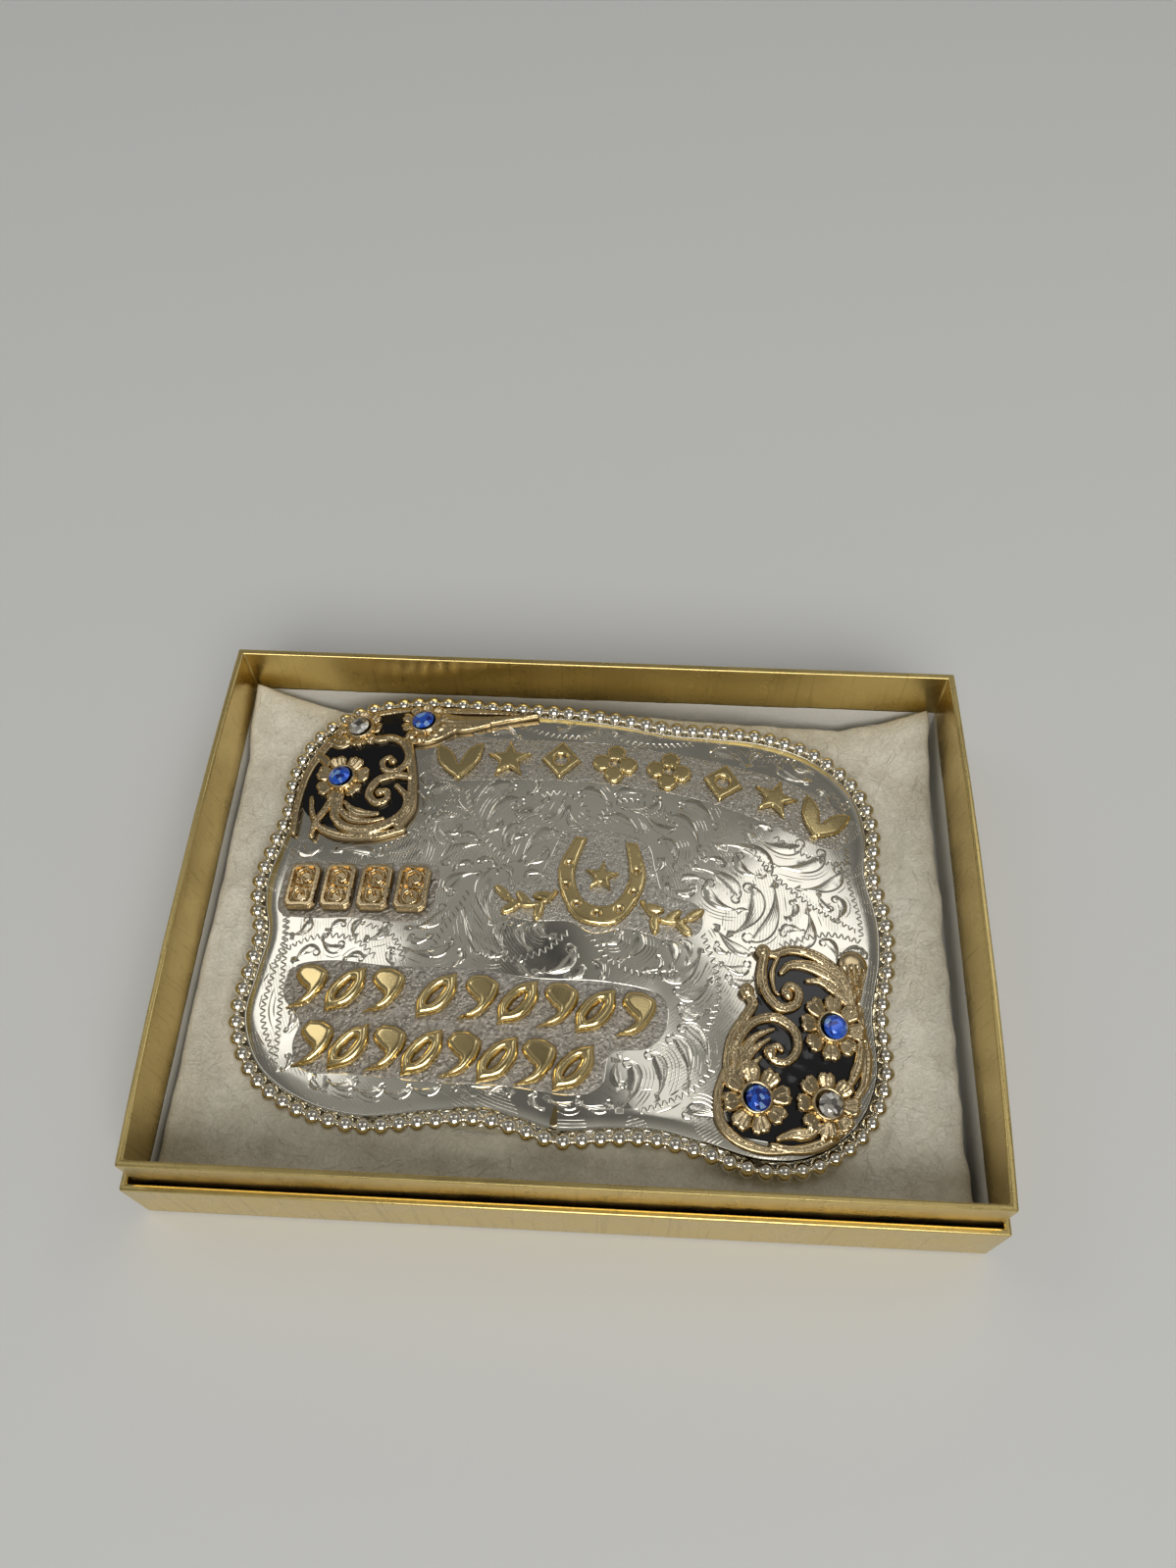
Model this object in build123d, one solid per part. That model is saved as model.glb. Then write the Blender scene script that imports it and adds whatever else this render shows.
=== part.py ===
from build123d import *
from math import atan2, cos, degrees, hypot, pi, radians, sin
import os

os.makedirs("parts", exist_ok=True)

# Gift box: a foil covered card tray that stands in its own upturned lid.
LID_LENGTH = 139.0
LID_WIDTH = 100.7
LID_HEIGHT = 14.9
TRAY_LENGTH = 136.0
TRAY_WIDTH = 97.7
TRAY_TOP = 23.5
TRAY_BOTTOM = 1.4
TRAY_SHIFT = (0.3, 0.25)
CARD = 1.1
WALL_BOW = 1.0

# Cotton pad: pushed up round the buckle, pressed hollow below it, its back corners riding up.
PAD_LEFT = -66.0
PAD_RIGHT = 65.8
PAD_FRONT = -46.2
PAD_BACK = 47.5
PAD_BOTTOM = 2.8
PAD_EDGE_TOP = 10.3
PAD_RISE = 3.6
PAD_RISE_REACH = 48.0
PAD_SAG = 3.0
PAD_BACK_DROP = 2.4
PAD_DROP_REACH = 11.5
PAD_CORNER_LIFT = 6.2
PAD_CORNER_LENGTH = 17.0
PAD_CORNER_WIDTH = 15.0
POCKET_LENGTH = 80.0
POCKET_WIDTH = 50.0
POCKET_FLOOR = 6.4
POCKET_CORNER = 8.0

# Buckle: its place in the box, its turn, and the dome of its face.
BUCKLE_X = -1.7
BUCKLE_Y = 0.0
BUCKLE_TURN = -4.1
CROWN = 20.3
LENGTH_RADIUS = 235.0
WIDTH_RADIUS = 320.0
PLATE_THICKNESS = 1.8

# Bead edge: round beads joined by a thin rail, just outside the plate.
BEAD_RADIUS = 1.38
BEAD_COUNT = 118
BEAD_DROP = 0.75
RAIL_RADIUS = 0.85
PLATE_INSET = 1.55

# Line through the bead centres, clockwise from the middle of the left side.
BEAD_LINE = [
    (-56.4, 1.0), (-55.7, 8.5), (-54.7, 15.2), (-55.5, 24.5), (-52.7, 33.3),
    (-45.5, 39.1), (-34.0, 41.4), (-19.6, 41.0), (-4.0, 40.9), (7.0, 40.4),
    (15.0, 39.7), (23.0, 40.4), (32.5, 40.9), (42.4, 38.8), (50.2, 32.6),
    (53.3, 24.0), (53.2, 15.0), (55.6, 6.0), (56.0, -2.0), (54.9, -11.5),
    (55.9, -21.8), (52.6, -31.3), (45.1, -37.8), (36.0, -39.9), (26.0, -38.5),
    (18.5, -37.7), (10.5, -38.6), (3.6, -39.8), (-3.0, -38.7), (-9.5, -37.8),
    (-18.5, -39.2), (-29.0, -40.8), (-39.8, -38.9), (-48.8, -33.6), (-53.8, -25.0),
    (-53.8, -16.0), (-53.5, -9.5), (-55.3, -4.5),
]

# Heights above the plate's face.
SEAT_GAP = 0.12
ENAMEL_TOP = 0.5
FRAME_TOP = 1.3
RELIEF_TOP = 1.75
FLOWER_TOP = 1.9
ARC_TOP = 0.95
SCROLL_TOP = 1.55
PLAQUE_TOP = 2.0

# Belt bar and hook on the back.
BAR_PLACE = 29.0
BAR_HALF = 21.0
BAR_HEIGHT = 8.9
BAR_RADIUS = 1.5
FOOT_RADIUS = 3.2
FOOT_THICKNESS = 0.9
HOOK_PLACE = -29.0
HOOK_HEIGHT = 9.6
HOOK_REACH = 5.4
HOOK_BEND = 100.0
HOOK_RADIUS = 1.6

# Cut stones.
STONE_RADIUS = 2.05
STONE_SEAT = 0.15

place = Location((BUCKLE_X, BUCKLE_Y, 0), (0, 0, BUCKLE_TURN))


def save(solid, name):
    """Write one node."""
    export_step(solid, "parts/" + name + ".step")


def save_on_buckle(solid, name):
    """Write one node, moved from the buckle's own plan to its place in the box."""
    save(place * solid, name)


def dome(x, y):
    """Height of the plate's face over a point of its plan."""
    return CROWN - x * x / (2 * LENGTH_RADIUS) - y * y / (2 * WIDTH_RADIUS)


def on_dome(x, y, turn=0.0):
    """Frame that lies on the face at a point, its Z along the face's normal."""
    tilt_y = degrees(atan2(x, LENGTH_RADIUS))
    tilt_x = -degrees(atan2(y, WIDTH_RADIUS))
    return Location((x, y, dome(x, y)), (tilt_x, tilt_y, 0)) * Location((0, 0, 0), (0, 0, turn))


def shell(low, high):
    """Layer of the dome between two heights above the plate's face."""
    half = radians(8.6)
    mid = CROWN - WIDTH_RADIUS

    def arc(height):
        radius = WIDTH_RADIUS + height
        side = radius * sin(half)
        rise = mid + radius * cos(half)
        return (0, -side, rise), (0, 0, mid + radius), (0, side, rise)

    inner, outer = arc(low), arc(high)
    edges = [
        ThreePointArc(*inner),
        Line(inner[2], outer[2]),
        ThreePointArc(outer[2], outer[1], outer[0]),
        Line(outer[0], inner[0]),
    ]
    sweep = 31.0
    axis = Axis((0, 0, CROWN - LENGTH_RADIUS), (0, 1, 0))
    band = revolve(make_face(edges).rotate(axis, -sweep / 2), axis, sweep)
    return band


def raised(sketch, low, high):
    """Sketch of the plan made a layer that follows the dome."""
    column = extrude(Location((0, 0, 5)) * sketch, 30)
    return column & shell(low, high)


def offset_points(inset, count):
    """Points evenly spaced along the bead line, moved in by a distance."""
    line = Spline(*BEAD_LINE, periodic=True)
    points = []
    for index in range(count):
        here = line.position_at(index / count)
        along = line.tangent_at(index / count)
        points.append((here.X + along.Y * inset, here.Y - along.X * inset))
    return points


def outline(inset):
    """Plan of the buckle inside the bead line, as one smooth closed curve."""
    return make_face(Spline(*offset_points(inset, 76), periodic=True))


def blob(points, inset=0.0):
    """Smooth closed shape through a few points, each moved in towards the middle."""
    middle_x = sum(x for x, y in points) / len(points)
    middle_y = sum(y for x, y in points) / len(points)
    moved = []
    for x, y in points:
        keep = 1 - inset / hypot(x - middle_x, y - middle_y)
        moved.append((middle_x + (x - middle_x) * keep, middle_y + (y - middle_y) * keep))
    return make_face(Spline(*moved, periodic=True))


def scroll(centre, start, turns, radii, widths, hand=1):
    """Spiral band that winds from its outer end to its eye and widens or thins on the way."""
    steps = max(8, int(abs(turns) * 14))
    left, right = [], []
    for step in range(steps + 1):
        share = step / steps
        angle = radians(start) + hand * 2 * pi * turns * share
        radius = radii[0] + (radii[1] - radii[0]) * share
        half = (widths[0] + (widths[1] - widths[0]) * share) / 2
        for side, r in ((left, radius + half), (right, radius - half)):
            side.append((centre[0] + r * cos(angle), centre[1] + r * sin(angle)))
    ends = [Line(left[-1], right[-1]), Line(right[0], left[0])]
    return make_face([Spline(*left), ends[0], Spline(*reversed(right)), ends[1]])


def petals(centre, radius, count, turn=0.0):
    """Flower in plan: a round middle with a ring of rounded petals."""
    flower = Pos(*centre) * Circle(radius * 0.62)
    for index in range(count):
        spot = Pos(*centre) * Rot(0, 0, turn + 360 * index / count) * Pos(radius * 0.66, 0)
        flower += spot * Ellipse(radius * 0.35, radius * 0.3)
    return flower


def flower_relief(centre, radius, count, low, turn=0.0):
    """Flower raised to its own height, with a round collar for its stone."""
    body = raised(petals(centre, radius, count, turn), low, FLOWER_TOP - 0.3)
    collar = on_dome(*centre) * Location((0, 0, low)) * Cylinder(
        STONE_RADIUS + 0.55, FLOWER_TOP - low, align=(Align.CENTER, Align.CENTER, Align.MIN))
    return body + collar


def stone_seat(centre):
    """Cone shaped hole in a flower's middle, wider than the stone all round."""
    girdle = FLOWER_TOP + 0.1
    cone = Cone(0.5, STONE_RADIUS + STONE_SEAT, 1.3, align=(Align.CENTER, Align.CENTER, Align.MAX))
    throat = Cylinder(STONE_RADIUS + STONE_SEAT, 1.0, align=(Align.CENTER, Align.CENTER, Align.MIN))
    return on_dome(*centre) * Location((0, 0, girdle)) * (cone + throat)


def cut_stone(centre):
    """Round cut stone: a table, star, kite and girdle facets above, a pointed pavilion below."""
    radius = STONE_RADIUS
    crown_height, star_height, depth = 0.62, 0.42, 1.05

    def ring(r, z, count, phase):
        return [(r * cos(2 * pi * (i + phase) / count), r * sin(2 * pi * (i + phase) / count), z)
                for i in range(count)]

    table = ring(radius * 0.56, crown_height, 8, 0.0)
    star = ring(radius * 0.74, star_height, 8, 0.5)
    girdle = ring(radius, 0.0, 16, 0.0)
    rim = ring(radius, -0.12, 16, 0.0)
    culet = (0, 0, -depth)
    facets = [table]
    for i in range(8):
        after, mid = (i + 1) % 8, 2 * i
        left, right, far = girdle[mid], girdle[mid + 1], girdle[(mid + 2) % 16]
        facets.append([table[i], star[i], table[after]])
        facets.append([table[i], left, star[i]])
        facets.append([star[i], far, table[after]])
        facets.append([star[i], left, right])
        facets.append([star[i], right, far])
    for i in range(16):
        after = (i + 1) % 16
        facets.append([girdle[i], rim[i], rim[after], girdle[after]])
        facets.append([rim[i], culet, rim[after]])
    faces = [Face(Wire.make_polygon([Vector(*p) for p in facet])) for facet in facets]
    body = Solid(Shell(faces))
    return on_dome(*centre) * Location((0, 0, FLOWER_TOP + 0.1)) * body


def box_outline(length, width, bow, height):
    """Rectangle at a height whose short sides bow outwards."""
    x, y = length / 2, width / 2
    edges = [
        Line((-x, -y, height), (x, -y, height)),
        ThreePointArc((x, -y, height), (x + bow, 0, height), (x, y, height)),
        Line((x, y, height), (-x, y, height)),
        ThreePointArc((-x, y, height), (-x - bow, 0, height), (-x, -y, height)),
    ]
    return make_face(edges)


def bowed_block(length, width, levels):
    """Block lofted through outlines given as height and bow."""
    return loft([box_outline(length, width, bow, height) for height, bow in levels], ruled=True)


def box_lid():
    """Shallow open lid, standing upside down under the tray."""
    flat = 0.02
    outer = bowed_block(LID_LENGTH, LID_WIDTH, [(0, flat), (LID_HEIGHT, flat)])
    inner = bowed_block(LID_LENGTH - 2 * CARD, LID_WIDTH - 2 * CARD,
                        [(CARD, flat), (LID_HEIGHT + 1, flat)])
    return outer - inner


def box_tray():
    """Deeper tray whose short walls bow out above the lid's rim."""
    flat = 0.02
    low = LID_HEIGHT + 0.3
    grow = (TRAY_TOP + 1 - low) / (TRAY_TOP - low)
    outer = bowed_block(TRAY_LENGTH, TRAY_WIDTH,
                        [(TRAY_BOTTOM, flat), (low, flat), (TRAY_TOP, WALL_BOW)])
    inner = bowed_block(TRAY_LENGTH - 2 * CARD, TRAY_WIDTH - 2 * CARD,
                        [(TRAY_BOTTOM + CARD, flat), (low, flat), (TRAY_TOP + 1, WALL_BOW * grow)])
    return Location((*TRAY_SHIFT, 0)) * (outer - inner)


def pad_height(x, y):
    """Top of the cotton: pushed up in the middle, low along the back, high in its corners."""
    rise = max(0.0, 1 - (x / PAD_RISE_REACH) ** 2)
    behind = max(0.0, 1 - max(0.0, PAD_BACK - y) / PAD_DROP_REACH)
    along = max(0.0, PAD_RIGHT - abs(x)) / PAD_CORNER_LENGTH
    across = max(0.0, PAD_BACK - y) / PAD_CORNER_WIDTH
    corner = max(0.0, 1 - hypot(along, across))
    level = PAD_EDGE_TOP + PAD_RISE * rise
    return level - PAD_BACK_DROP * behind ** 2 + PAD_CORNER_LIFT * corner


def cotton_pad():
    """Pad of cotton with a crowned top, a sagging back edge and a pressed pocket."""
    left, right, front, back = PAD_LEFT, PAD_RIGHT, PAD_FRONT, PAD_BACK
    edges = [
        ThreePointArc((left, front), (0, front - 0.8), (right, front)),
        ThreePointArc((right, front), (right - 0.4, 0), (right, back)),
        ThreePointArc((right, back), (0, back - PAD_SAG), (left, back)),
        ThreePointArc((left, back), (left + 0.3, 0), (left, front)),
    ]
    block = extrude(Location((0, 0, PAD_BOTTOM)) * make_face(edges), 20)
    columns = range(-72, 73, 6)
    rows = range(-52, 53, 4)
    grid = [[Vector(cx, cy, pad_height(cx, cy)) for cx in columns] for cy in rows]
    top = Face.make_surface_from_array_of_points(grid)
    pad = split(block, bisect_by=top, keep=Keep.TOP)
    pocket = RectangleRounded(POCKET_LENGTH, POCKET_WIDTH, POCKET_CORNER)
    return pad - extrude(place * Location((0, 0, POCKET_FLOOR)) * pocket, 20)


def face_plate():
    """Domed silver plate, its outline kept just inside the beads."""
    return raised(outline(PLATE_INSET), -PLATE_THICKNESS, 0.0)


def bead_edge():
    """Ring of round beads on a rail, soldered together into one string."""
    places = []
    for x, y in offset_points(0.0, BEAD_COUNT):
        places.append(Vector(x, y, dome(x, y) - BEAD_DROP))
    parts = []
    for index, here in enumerate(places):
        before, after = places[index - 1], places[(index + 1) % BEAD_COUNT]
        along = after - here
        parts.append(Plane(origin=here, z_dir=after - before) * Sphere(BEAD_RADIUS))
        rail = Plane(origin=here, z_dir=along) * Pos(0, 0, BEAD_RADIUS / 2)
        parts.append(rail * Cylinder(RAIL_RADIUS, along.length - BEAD_RADIUS,
                                     align=(Align.CENTER, Align.CENTER, Align.MIN)))
    return parts[0].fuse(*parts[1:])


def belt_loop():
    """Bar that the belt's fixed end folds round, on two legs with round feet."""
    back = dome(BAR_PLACE, BAR_HALF) - PLATE_THICKNESS - SEAT_GAP
    loop = Pos(BAR_PLACE, 0, BAR_HEIGHT) * Rot(90, 0, 0) * Cylinder(BAR_RADIUS, 2 * BAR_HALF)
    for side in (-1, 1):
        y = side * BAR_HALF
        leg = Cylinder(BAR_RADIUS, back - FOOT_THICKNESS / 2 - BAR_HEIGHT,
                       align=(Align.CENTER, Align.CENTER, Align.MIN))
        loop += Pos(BAR_PLACE, y, BAR_HEIGHT) * leg
        loop += Pos(BAR_PLACE, y, BAR_HEIGHT) * Sphere(BAR_RADIUS)
        foot = Cylinder(FOOT_RADIUS, 3.0)
        column = Pos(BAR_PLACE, y, back) * foot
        low = -PLATE_THICKNESS - SEAT_GAP
        loop += column & shell(low - FOOT_THICKNESS, low)
    return loop


def belt_hook():
    """Stud whose bent end goes through a belt hole, on a round foot."""
    low = -PLATE_THICKNESS - SEAT_GAP
    back = dome(HOOK_PLACE, 0) + low
    post = Cylinder(HOOK_RADIUS, back - FOOT_THICKNESS / 2 - HOOK_HEIGHT,
                    align=(Align.CENTER, Align.CENTER, Align.MIN))
    hook = Pos(HOOK_PLACE, 0, HOOK_HEIGHT) * post
    hook += Pos(HOOK_PLACE, 0, HOOK_HEIGHT) * Sphere(HOOK_RADIUS)
    bend = Pos(HOOK_PLACE, 0, HOOK_HEIGHT) * Rot(0, -HOOK_BEND, 0)
    hook += bend * Cylinder(HOOK_RADIUS, HOOK_REACH, align=(Align.CENTER, Align.CENTER, Align.MIN))
    hook += bend * Pos(0, 0, HOOK_REACH) * Sphere(HOOK_RADIUS)
    column = Pos(HOOK_PLACE, 0, back) * Cylinder(FOOT_RADIUS + 0.8, 3.0)
    return hook + (column & shell(low - FOOT_THICKNESS, low))


# Left overlay: rim, windows and forms in plan.
LEFT_RIM = [
    (-49.8, 9.6), (-52.2, 14.0), (-53.1, 22.0), (-52.0, 29.0), (-48.6, 34.6), (-43.0, 38.2),
    (-35.0, 39.4), (-22.0, 39.2), (-10.5, 38.9), (-12.0, 38.0), (-19.5, 35.9), (-26.0, 33.6),
    (-30.2, 30.2), (-31.0, 24.0), (-29.8, 17.0), (-30.2, 12.4), (-34.6, 9.8), (-40.0, 9.0),
]
LEFT_WINDOW = [
    (-49.6, 17.0), (-50.2, 24.0), (-48.6, 28.2), (-43.5, 30.6), (-38.0, 30.0), (-33.8, 28.0),
    (-33.2, 23.0), (-33.0, 17.0), (-35.4, 13.4), (-41.0, 13.4), (-46.5, 14.6),
]
LEFT_SLOT = [(-39.6, 33.4), (-39.6, 37.0), (-37.4, 38.6), (-34.8, 38.0), (-35.0, 33.0), (-37.0, 32.2)]
LEFT_FLOWERS = {
    "blue_low": ((-45.5, 22.3), 5.3, 8, 10),
    "clear": ((-44.6, 34.0), 4.3, 8, 0),
    "blue_top": ((-32.2, 35.6), 4.6, 8, 20),
}

# Right overlay: rim, window and forms in plan.
RIGHT_RIM = [
    (33.4, -4.4), (38.0, -2.9), (43.0, -2.9), (51.9, -4.1), (50.9, -10.0), (51.6, -15.5),
    (52.4, -21.5), (50.8, -28.0), (46.5, -33.4), (41.0, -35.6), (35.5, -37.0), (30.6, -35.4),
    (28.2, -30.0), (27.4, -25.0), (28.4, -18.5), (30.6, -12.2), (32.8, -9.4),
]
RIGHT_WINDOW = [
    (35.0, -7.2), (38.6, -6.0), (43.6, -8.2), (50.0, -13.0), (50.6, -18.6), (49.4, -23.0),
    (49.6, -30.0), (44.0, -33.0), (38.6, -34.8), (34.0, -33.6), (31.2, -27.0), (32.2, -20.0),
    (33.4, -13.6),
]
RIGHT_FLOWERS = {
    "blue_top": ((46.3, -15.6), 5.6, 9, 0),
    "blue_low": ((34.3, -29.3), 5.7, 9, 15),
    "clear": ((46.0, -28.4), 5.0, 8, 5),
}


def left_scrolls():
    """Two scrolls and a leaf that cross the left overlay's window."""
    forms = scroll((-37.2, 25.3), 20, 0.9, (3.0, 1.0), (1.9, 1.5))
    forms += scroll((-36.8, 18.6), 150, 1.25, (4.3, 0.9), (2.2, 1.2), -1)
    forms += scroll((-38.8, 20.8), 205, 0.42, (8.2, 8.2), (3.6, 2.0))
    return forms


def right_scrolls():
    """Two scrolls and a leaf that cross the right overlay's window."""
    forms = scroll((38.4, -11.0), 100, 1.3, (4.6, 0.9), (2.4, 1.2))
    forms += scroll((37.0, -20.4), 210, 1.4, (4.6, 0.9), (2.4, 1.2), -1)
    forms += scroll((39.0, -12.6), 20, 0.3, (8.6, 8.2), (2.6, 2.2))
    return forms


def overlay(rim, windows, flowers, forms):
    """Cast overlay: pierced frame, scrolls and flowers in one piece, with seats for stones."""
    opening = Sketch() + [blob(window) for window in windows]
    body = raised(blob(rim) - opening, SEAT_GAP, FRAME_TOP)
    body += raised(blob(rim) & forms, ENAMEL_TOP + 0.1, RELIEF_TOP)
    for centre, radius, count, turn in flowers.values():
        body += flower_relief(centre, radius, count, ENAMEL_TOP + 0.1, turn)
    for centre, radius, count, turn in flowers.values():
        body -= stone_seat(centre)
    return body


def enamel(windows):
    """Black enamel that fills the windows of an overlay."""
    panels = [raised(blob(window, 2 * SEAT_GAP), SEAT_GAP, ENAMEL_TOP) for window in windows]
    return Compound(children=[panel.solid() for panel in panels])


def star(radius):
    """Five pointed star."""
    points = []
    for index in range(10):
        r = radius if index % 2 == 0 else radius * 0.42
        points.append((r * sin(pi * index / 5), r * cos(pi * index / 5)))
    return make_face(Polyline(*points, close=True))


def lozenge(width, height):
    """Upright lozenge with a round hole."""
    points = [(0, height / 2), (width / 2, 0), (0, -height / 2), (-width / 2, 0)]
    return make_face(Polyline(*points, close=True)) - Circle(width * 0.16)


def quatrefoil(size):
    """Four round lobes with a round hole."""
    shape = Circle(size * 0.26)
    for index in range(4):
        shape += Rot(0, 0, 90 * index) * Pos(size * 0.29, 0) * Circle(size * 0.21)
    return shape - Circle(size * 0.12)


def leaf_pair(size):
    """Two leaves on a short stem, spread like an open book."""
    leaf = blob([(0, -0.46), (0.42, -0.1), (0.5, 0.42), (0.12, 0.16)])
    stem = Pos(0, -0.3) * Rectangle(0.14, 0.44)
    shape = leaf + mirror(leaf, about=Plane.YZ) + stem
    return scale(shape, by=size)


def ornament(sketch, x, y, turn, top):
    """Flat sketch made a small plate that lies on the dome at a point."""
    return on_dome(x, y, turn) * Location((0, 0, SEAT_GAP)) * extrude(sketch, top - SEAT_GAP)


# Arc of flat ornaments: name, centre across, centre up, turn.
ARC = [
    ("leaf_left", -24.0, 27.6, 6), ("star_left", -14.6, 28.3, 4),
    ("lozenge_left", -5.0, 29.1, 2), ("quatrefoil_left", 5.0, 29.4, 0),
    ("quatrefoil_right", 15.0, 29.2, -2), ("lozenge_right", 25.0, 28.4, -6),
    ("star_right", 34.8, 26.8, -12), ("leaf_right", 43.6, 24.0, -19),
]


def arc_shapes():
    return {
        "leaf": leaf_pair(8.6),
        "star": star(4.4),
        "lozenge": lozenge(7.4, 8.4),
        "quatrefoil": quatrefoil(8.4),
    }


def horseshoe():
    """Horseshoe with its heels up, thinner at the heels, with seven nail holes."""
    width, height = 15.4, 16.6
    outer = [(-5.6, height / 2), (-width / 2, 1.0), (-4.6, -6.6), (0, -height / 2),
             (4.6, -6.6), (width / 2, 1.0), (5.6, height / 2)]
    inner = [(3.4, height / 2), (4.7, 1.0), (2.8, -3.6), (0, -4.7),
             (-2.8, -3.6), (-4.7, 1.0), (-3.4, height / 2)]
    shape = make_face([Spline(*outer), Line(outer[-1], inner[0]), Spline(*inner),
                       Line(inner[-1], outer[0])])
    for index in range(7):
        angle = radians(-90 + (index - 3) * 36)
        shape -= Pos(6.2 * cos(angle), 0.4 + 6.8 * sin(angle)) * Circle(0.42)
    return shape


def spray():
    """Stem with five leaves, curling up and outwards."""
    shape = scroll((0, 3.6), 200, 0.3, (5.2, 5.2), (0.9, 0.9))
    for angle, side in ((215, 1), (240, -1), (265, 1), (285, -1), (308, 0)):
        a = radians(angle)
        root = (5.2 * cos(a), 3.6 + 5.2 * sin(a))
        leaf = Pos(1.5, 0) * Ellipse(1.9, 0.85)
        shape += Pos(*root) * Rot(0, 0, angle + 90 + side * 50) * leaf
    return shape


def emblem_pieces():
    right = spray()
    return {
        "emblem_horseshoe": (horseshoe(), 5.3, 4.6),
        "emblem_star": (star(3.2), 5.3, 5.6),
        "emblem_spray_right": (right, 17.6, 0.2),
        "emblem_spray_left": (mirror(right, about=Plane.YZ), -7.0, 0.2),
    }


def plaque():
    """Upright plaque with rounded corners and two scroll shaped cuts."""
    shape = RectangleRounded(5.9, 8.7, 1.0)
    for side in (-1, 1):
        cut = scroll((0, side * 2.0), 200 if side > 0 else 20, 0.72, (1.3, 0.8), (0.9, 0.5))
        shape -= cut
    return shape


def comma_scroll(height):
    """Slanted comma: a broad round head that thins into a curling tail."""
    outer = [(-0.36, -0.46), (0.08, -0.36), (0.37, 0.02), (0.40, 0.34), (0.14, 0.5)]
    inner = [(0.14, 0.5), (-0.16, 0.47), (-0.29, 0.24), (-0.12, 0.03), (0.02, -0.08),
             (-0.10, -0.26), (-0.36, -0.46)]
    shape = make_face([Spline(*outer), Spline(*inner)])
    return scale(shape, by=height)


def willow_leaf(height):
    """Slanted pointed leaf with a slit along its middle."""
    side = [(-0.34, -0.5), (-0.36, -0.06), (-0.06, 0.34), (0.36, 0.5)]
    back = [(0.36, 0.5), (0.40, 0.06), (0.14, -0.34), (-0.34, -0.5)]
    slit = Rot(0, 0, 55) * Ellipse(0.24, 0.055)
    return scale(make_face([Spline(*side), Spline(*back)]) - slit, by=height)


# Rows of pillowed scrolls: places across, height of the row's middle at its left end, slope.
UPPER_ROW = ([-42.2, -35.4, -28.6, -19.6, -12.6, -5.9, 0.7, 7.0, 13.6], -19.0, 0.006)
LOWER_ROW = ([-39.0, -32.8, -26.5, -20.3, -14.0, -7.8, -1.6, 4.6], -28.7, 0.006)
ROW_HEIGHT = 8.2
PLAQUES = ([-47.2, -40.6, -33.9, -27.2], -0.6, 0.02)


def row_places(row):
    """Centres of a row of pieces that climbs a little from left to right."""
    across, level, slope = row
    return [(x, level + slope * (x - across[0])) for x in across]


def main():
    save(box_lid(), "box_lid")
    save(box_tray(), "box_tray")
    save(cotton_pad(), "cotton_pad")
    save_on_buckle(face_plate(), "face_plate")
    save_on_buckle(bead_edge(), "bead_edge")
    save_on_buckle(belt_loop(), "belt_loop")
    save_on_buckle(belt_hook(), "belt_hook")

    sides = {
        "left": (LEFT_RIM, [LEFT_WINDOW, LEFT_SLOT], LEFT_FLOWERS, left_scrolls()),
        "right": (RIGHT_RIM, [RIGHT_WINDOW], RIGHT_FLOWERS, right_scrolls()),
    }
    for side, (rim, windows, flowers, forms) in sides.items():
        save_on_buckle(overlay(rim, windows, flowers, forms), "corner_overlay_" + side)
        save_on_buckle(enamel(windows), "enamel_" + side)
        for name, (centre, radius, count, turn) in flowers.items():
            save_on_buckle(cut_stone(centre), "stone_" + side + "_" + name)

    shapes = arc_shapes()
    for name, x, y, turn in ARC:
        piece = ornament(shapes[name.split("_")[0]], x, y, turn, ARC_TOP)
        save_on_buckle(piece, "arc_" + name)
    for name, (sketch, x, y) in emblem_pieces().items():
        save_on_buckle(ornament(sketch, x, y, 0, ARC_TOP), name)
    for index, (x, y) in enumerate(row_places(PLAQUES), 1):
        save_on_buckle(ornament(plaque(), x, y, 1.5, PLAQUE_TOP), "plaque_" + str(index))
    for label, row in (("upper", UPPER_ROW), ("lower", LOWER_ROW)):
        for index, (x, y) in enumerate(row_places(row), 1):
            sketch = comma_scroll(ROW_HEIGHT) if index % 2 else willow_leaf(ROW_HEIGHT)
            name = label + "_scroll_" + str(index)
            save_on_buckle(ornament(sketch, x, y, 0, SCROLL_TOP), name)


main()
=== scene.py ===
import bmesh
import bpy
import math
import numpy as np
from mathutils import Matrix, Vector
from mathutils.geometry import delaunay_2d_cdt


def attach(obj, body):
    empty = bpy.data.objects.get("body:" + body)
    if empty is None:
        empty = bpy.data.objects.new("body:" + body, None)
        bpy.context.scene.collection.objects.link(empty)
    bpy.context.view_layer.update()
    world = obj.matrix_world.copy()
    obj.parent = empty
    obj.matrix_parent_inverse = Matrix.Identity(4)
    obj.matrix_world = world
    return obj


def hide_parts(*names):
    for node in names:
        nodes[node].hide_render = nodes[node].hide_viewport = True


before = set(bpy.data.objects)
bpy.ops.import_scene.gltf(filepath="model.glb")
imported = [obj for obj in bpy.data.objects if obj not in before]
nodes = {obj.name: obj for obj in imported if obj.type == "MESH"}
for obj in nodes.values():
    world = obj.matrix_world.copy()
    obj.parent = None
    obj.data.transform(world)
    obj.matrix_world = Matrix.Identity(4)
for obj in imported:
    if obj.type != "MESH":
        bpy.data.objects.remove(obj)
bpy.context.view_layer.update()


# The table: a plain pale painted board. A big soft lamp stands behind the camera, and three
# small soft boxes hang over and behind the object. The camera stands in front and looks down.

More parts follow.
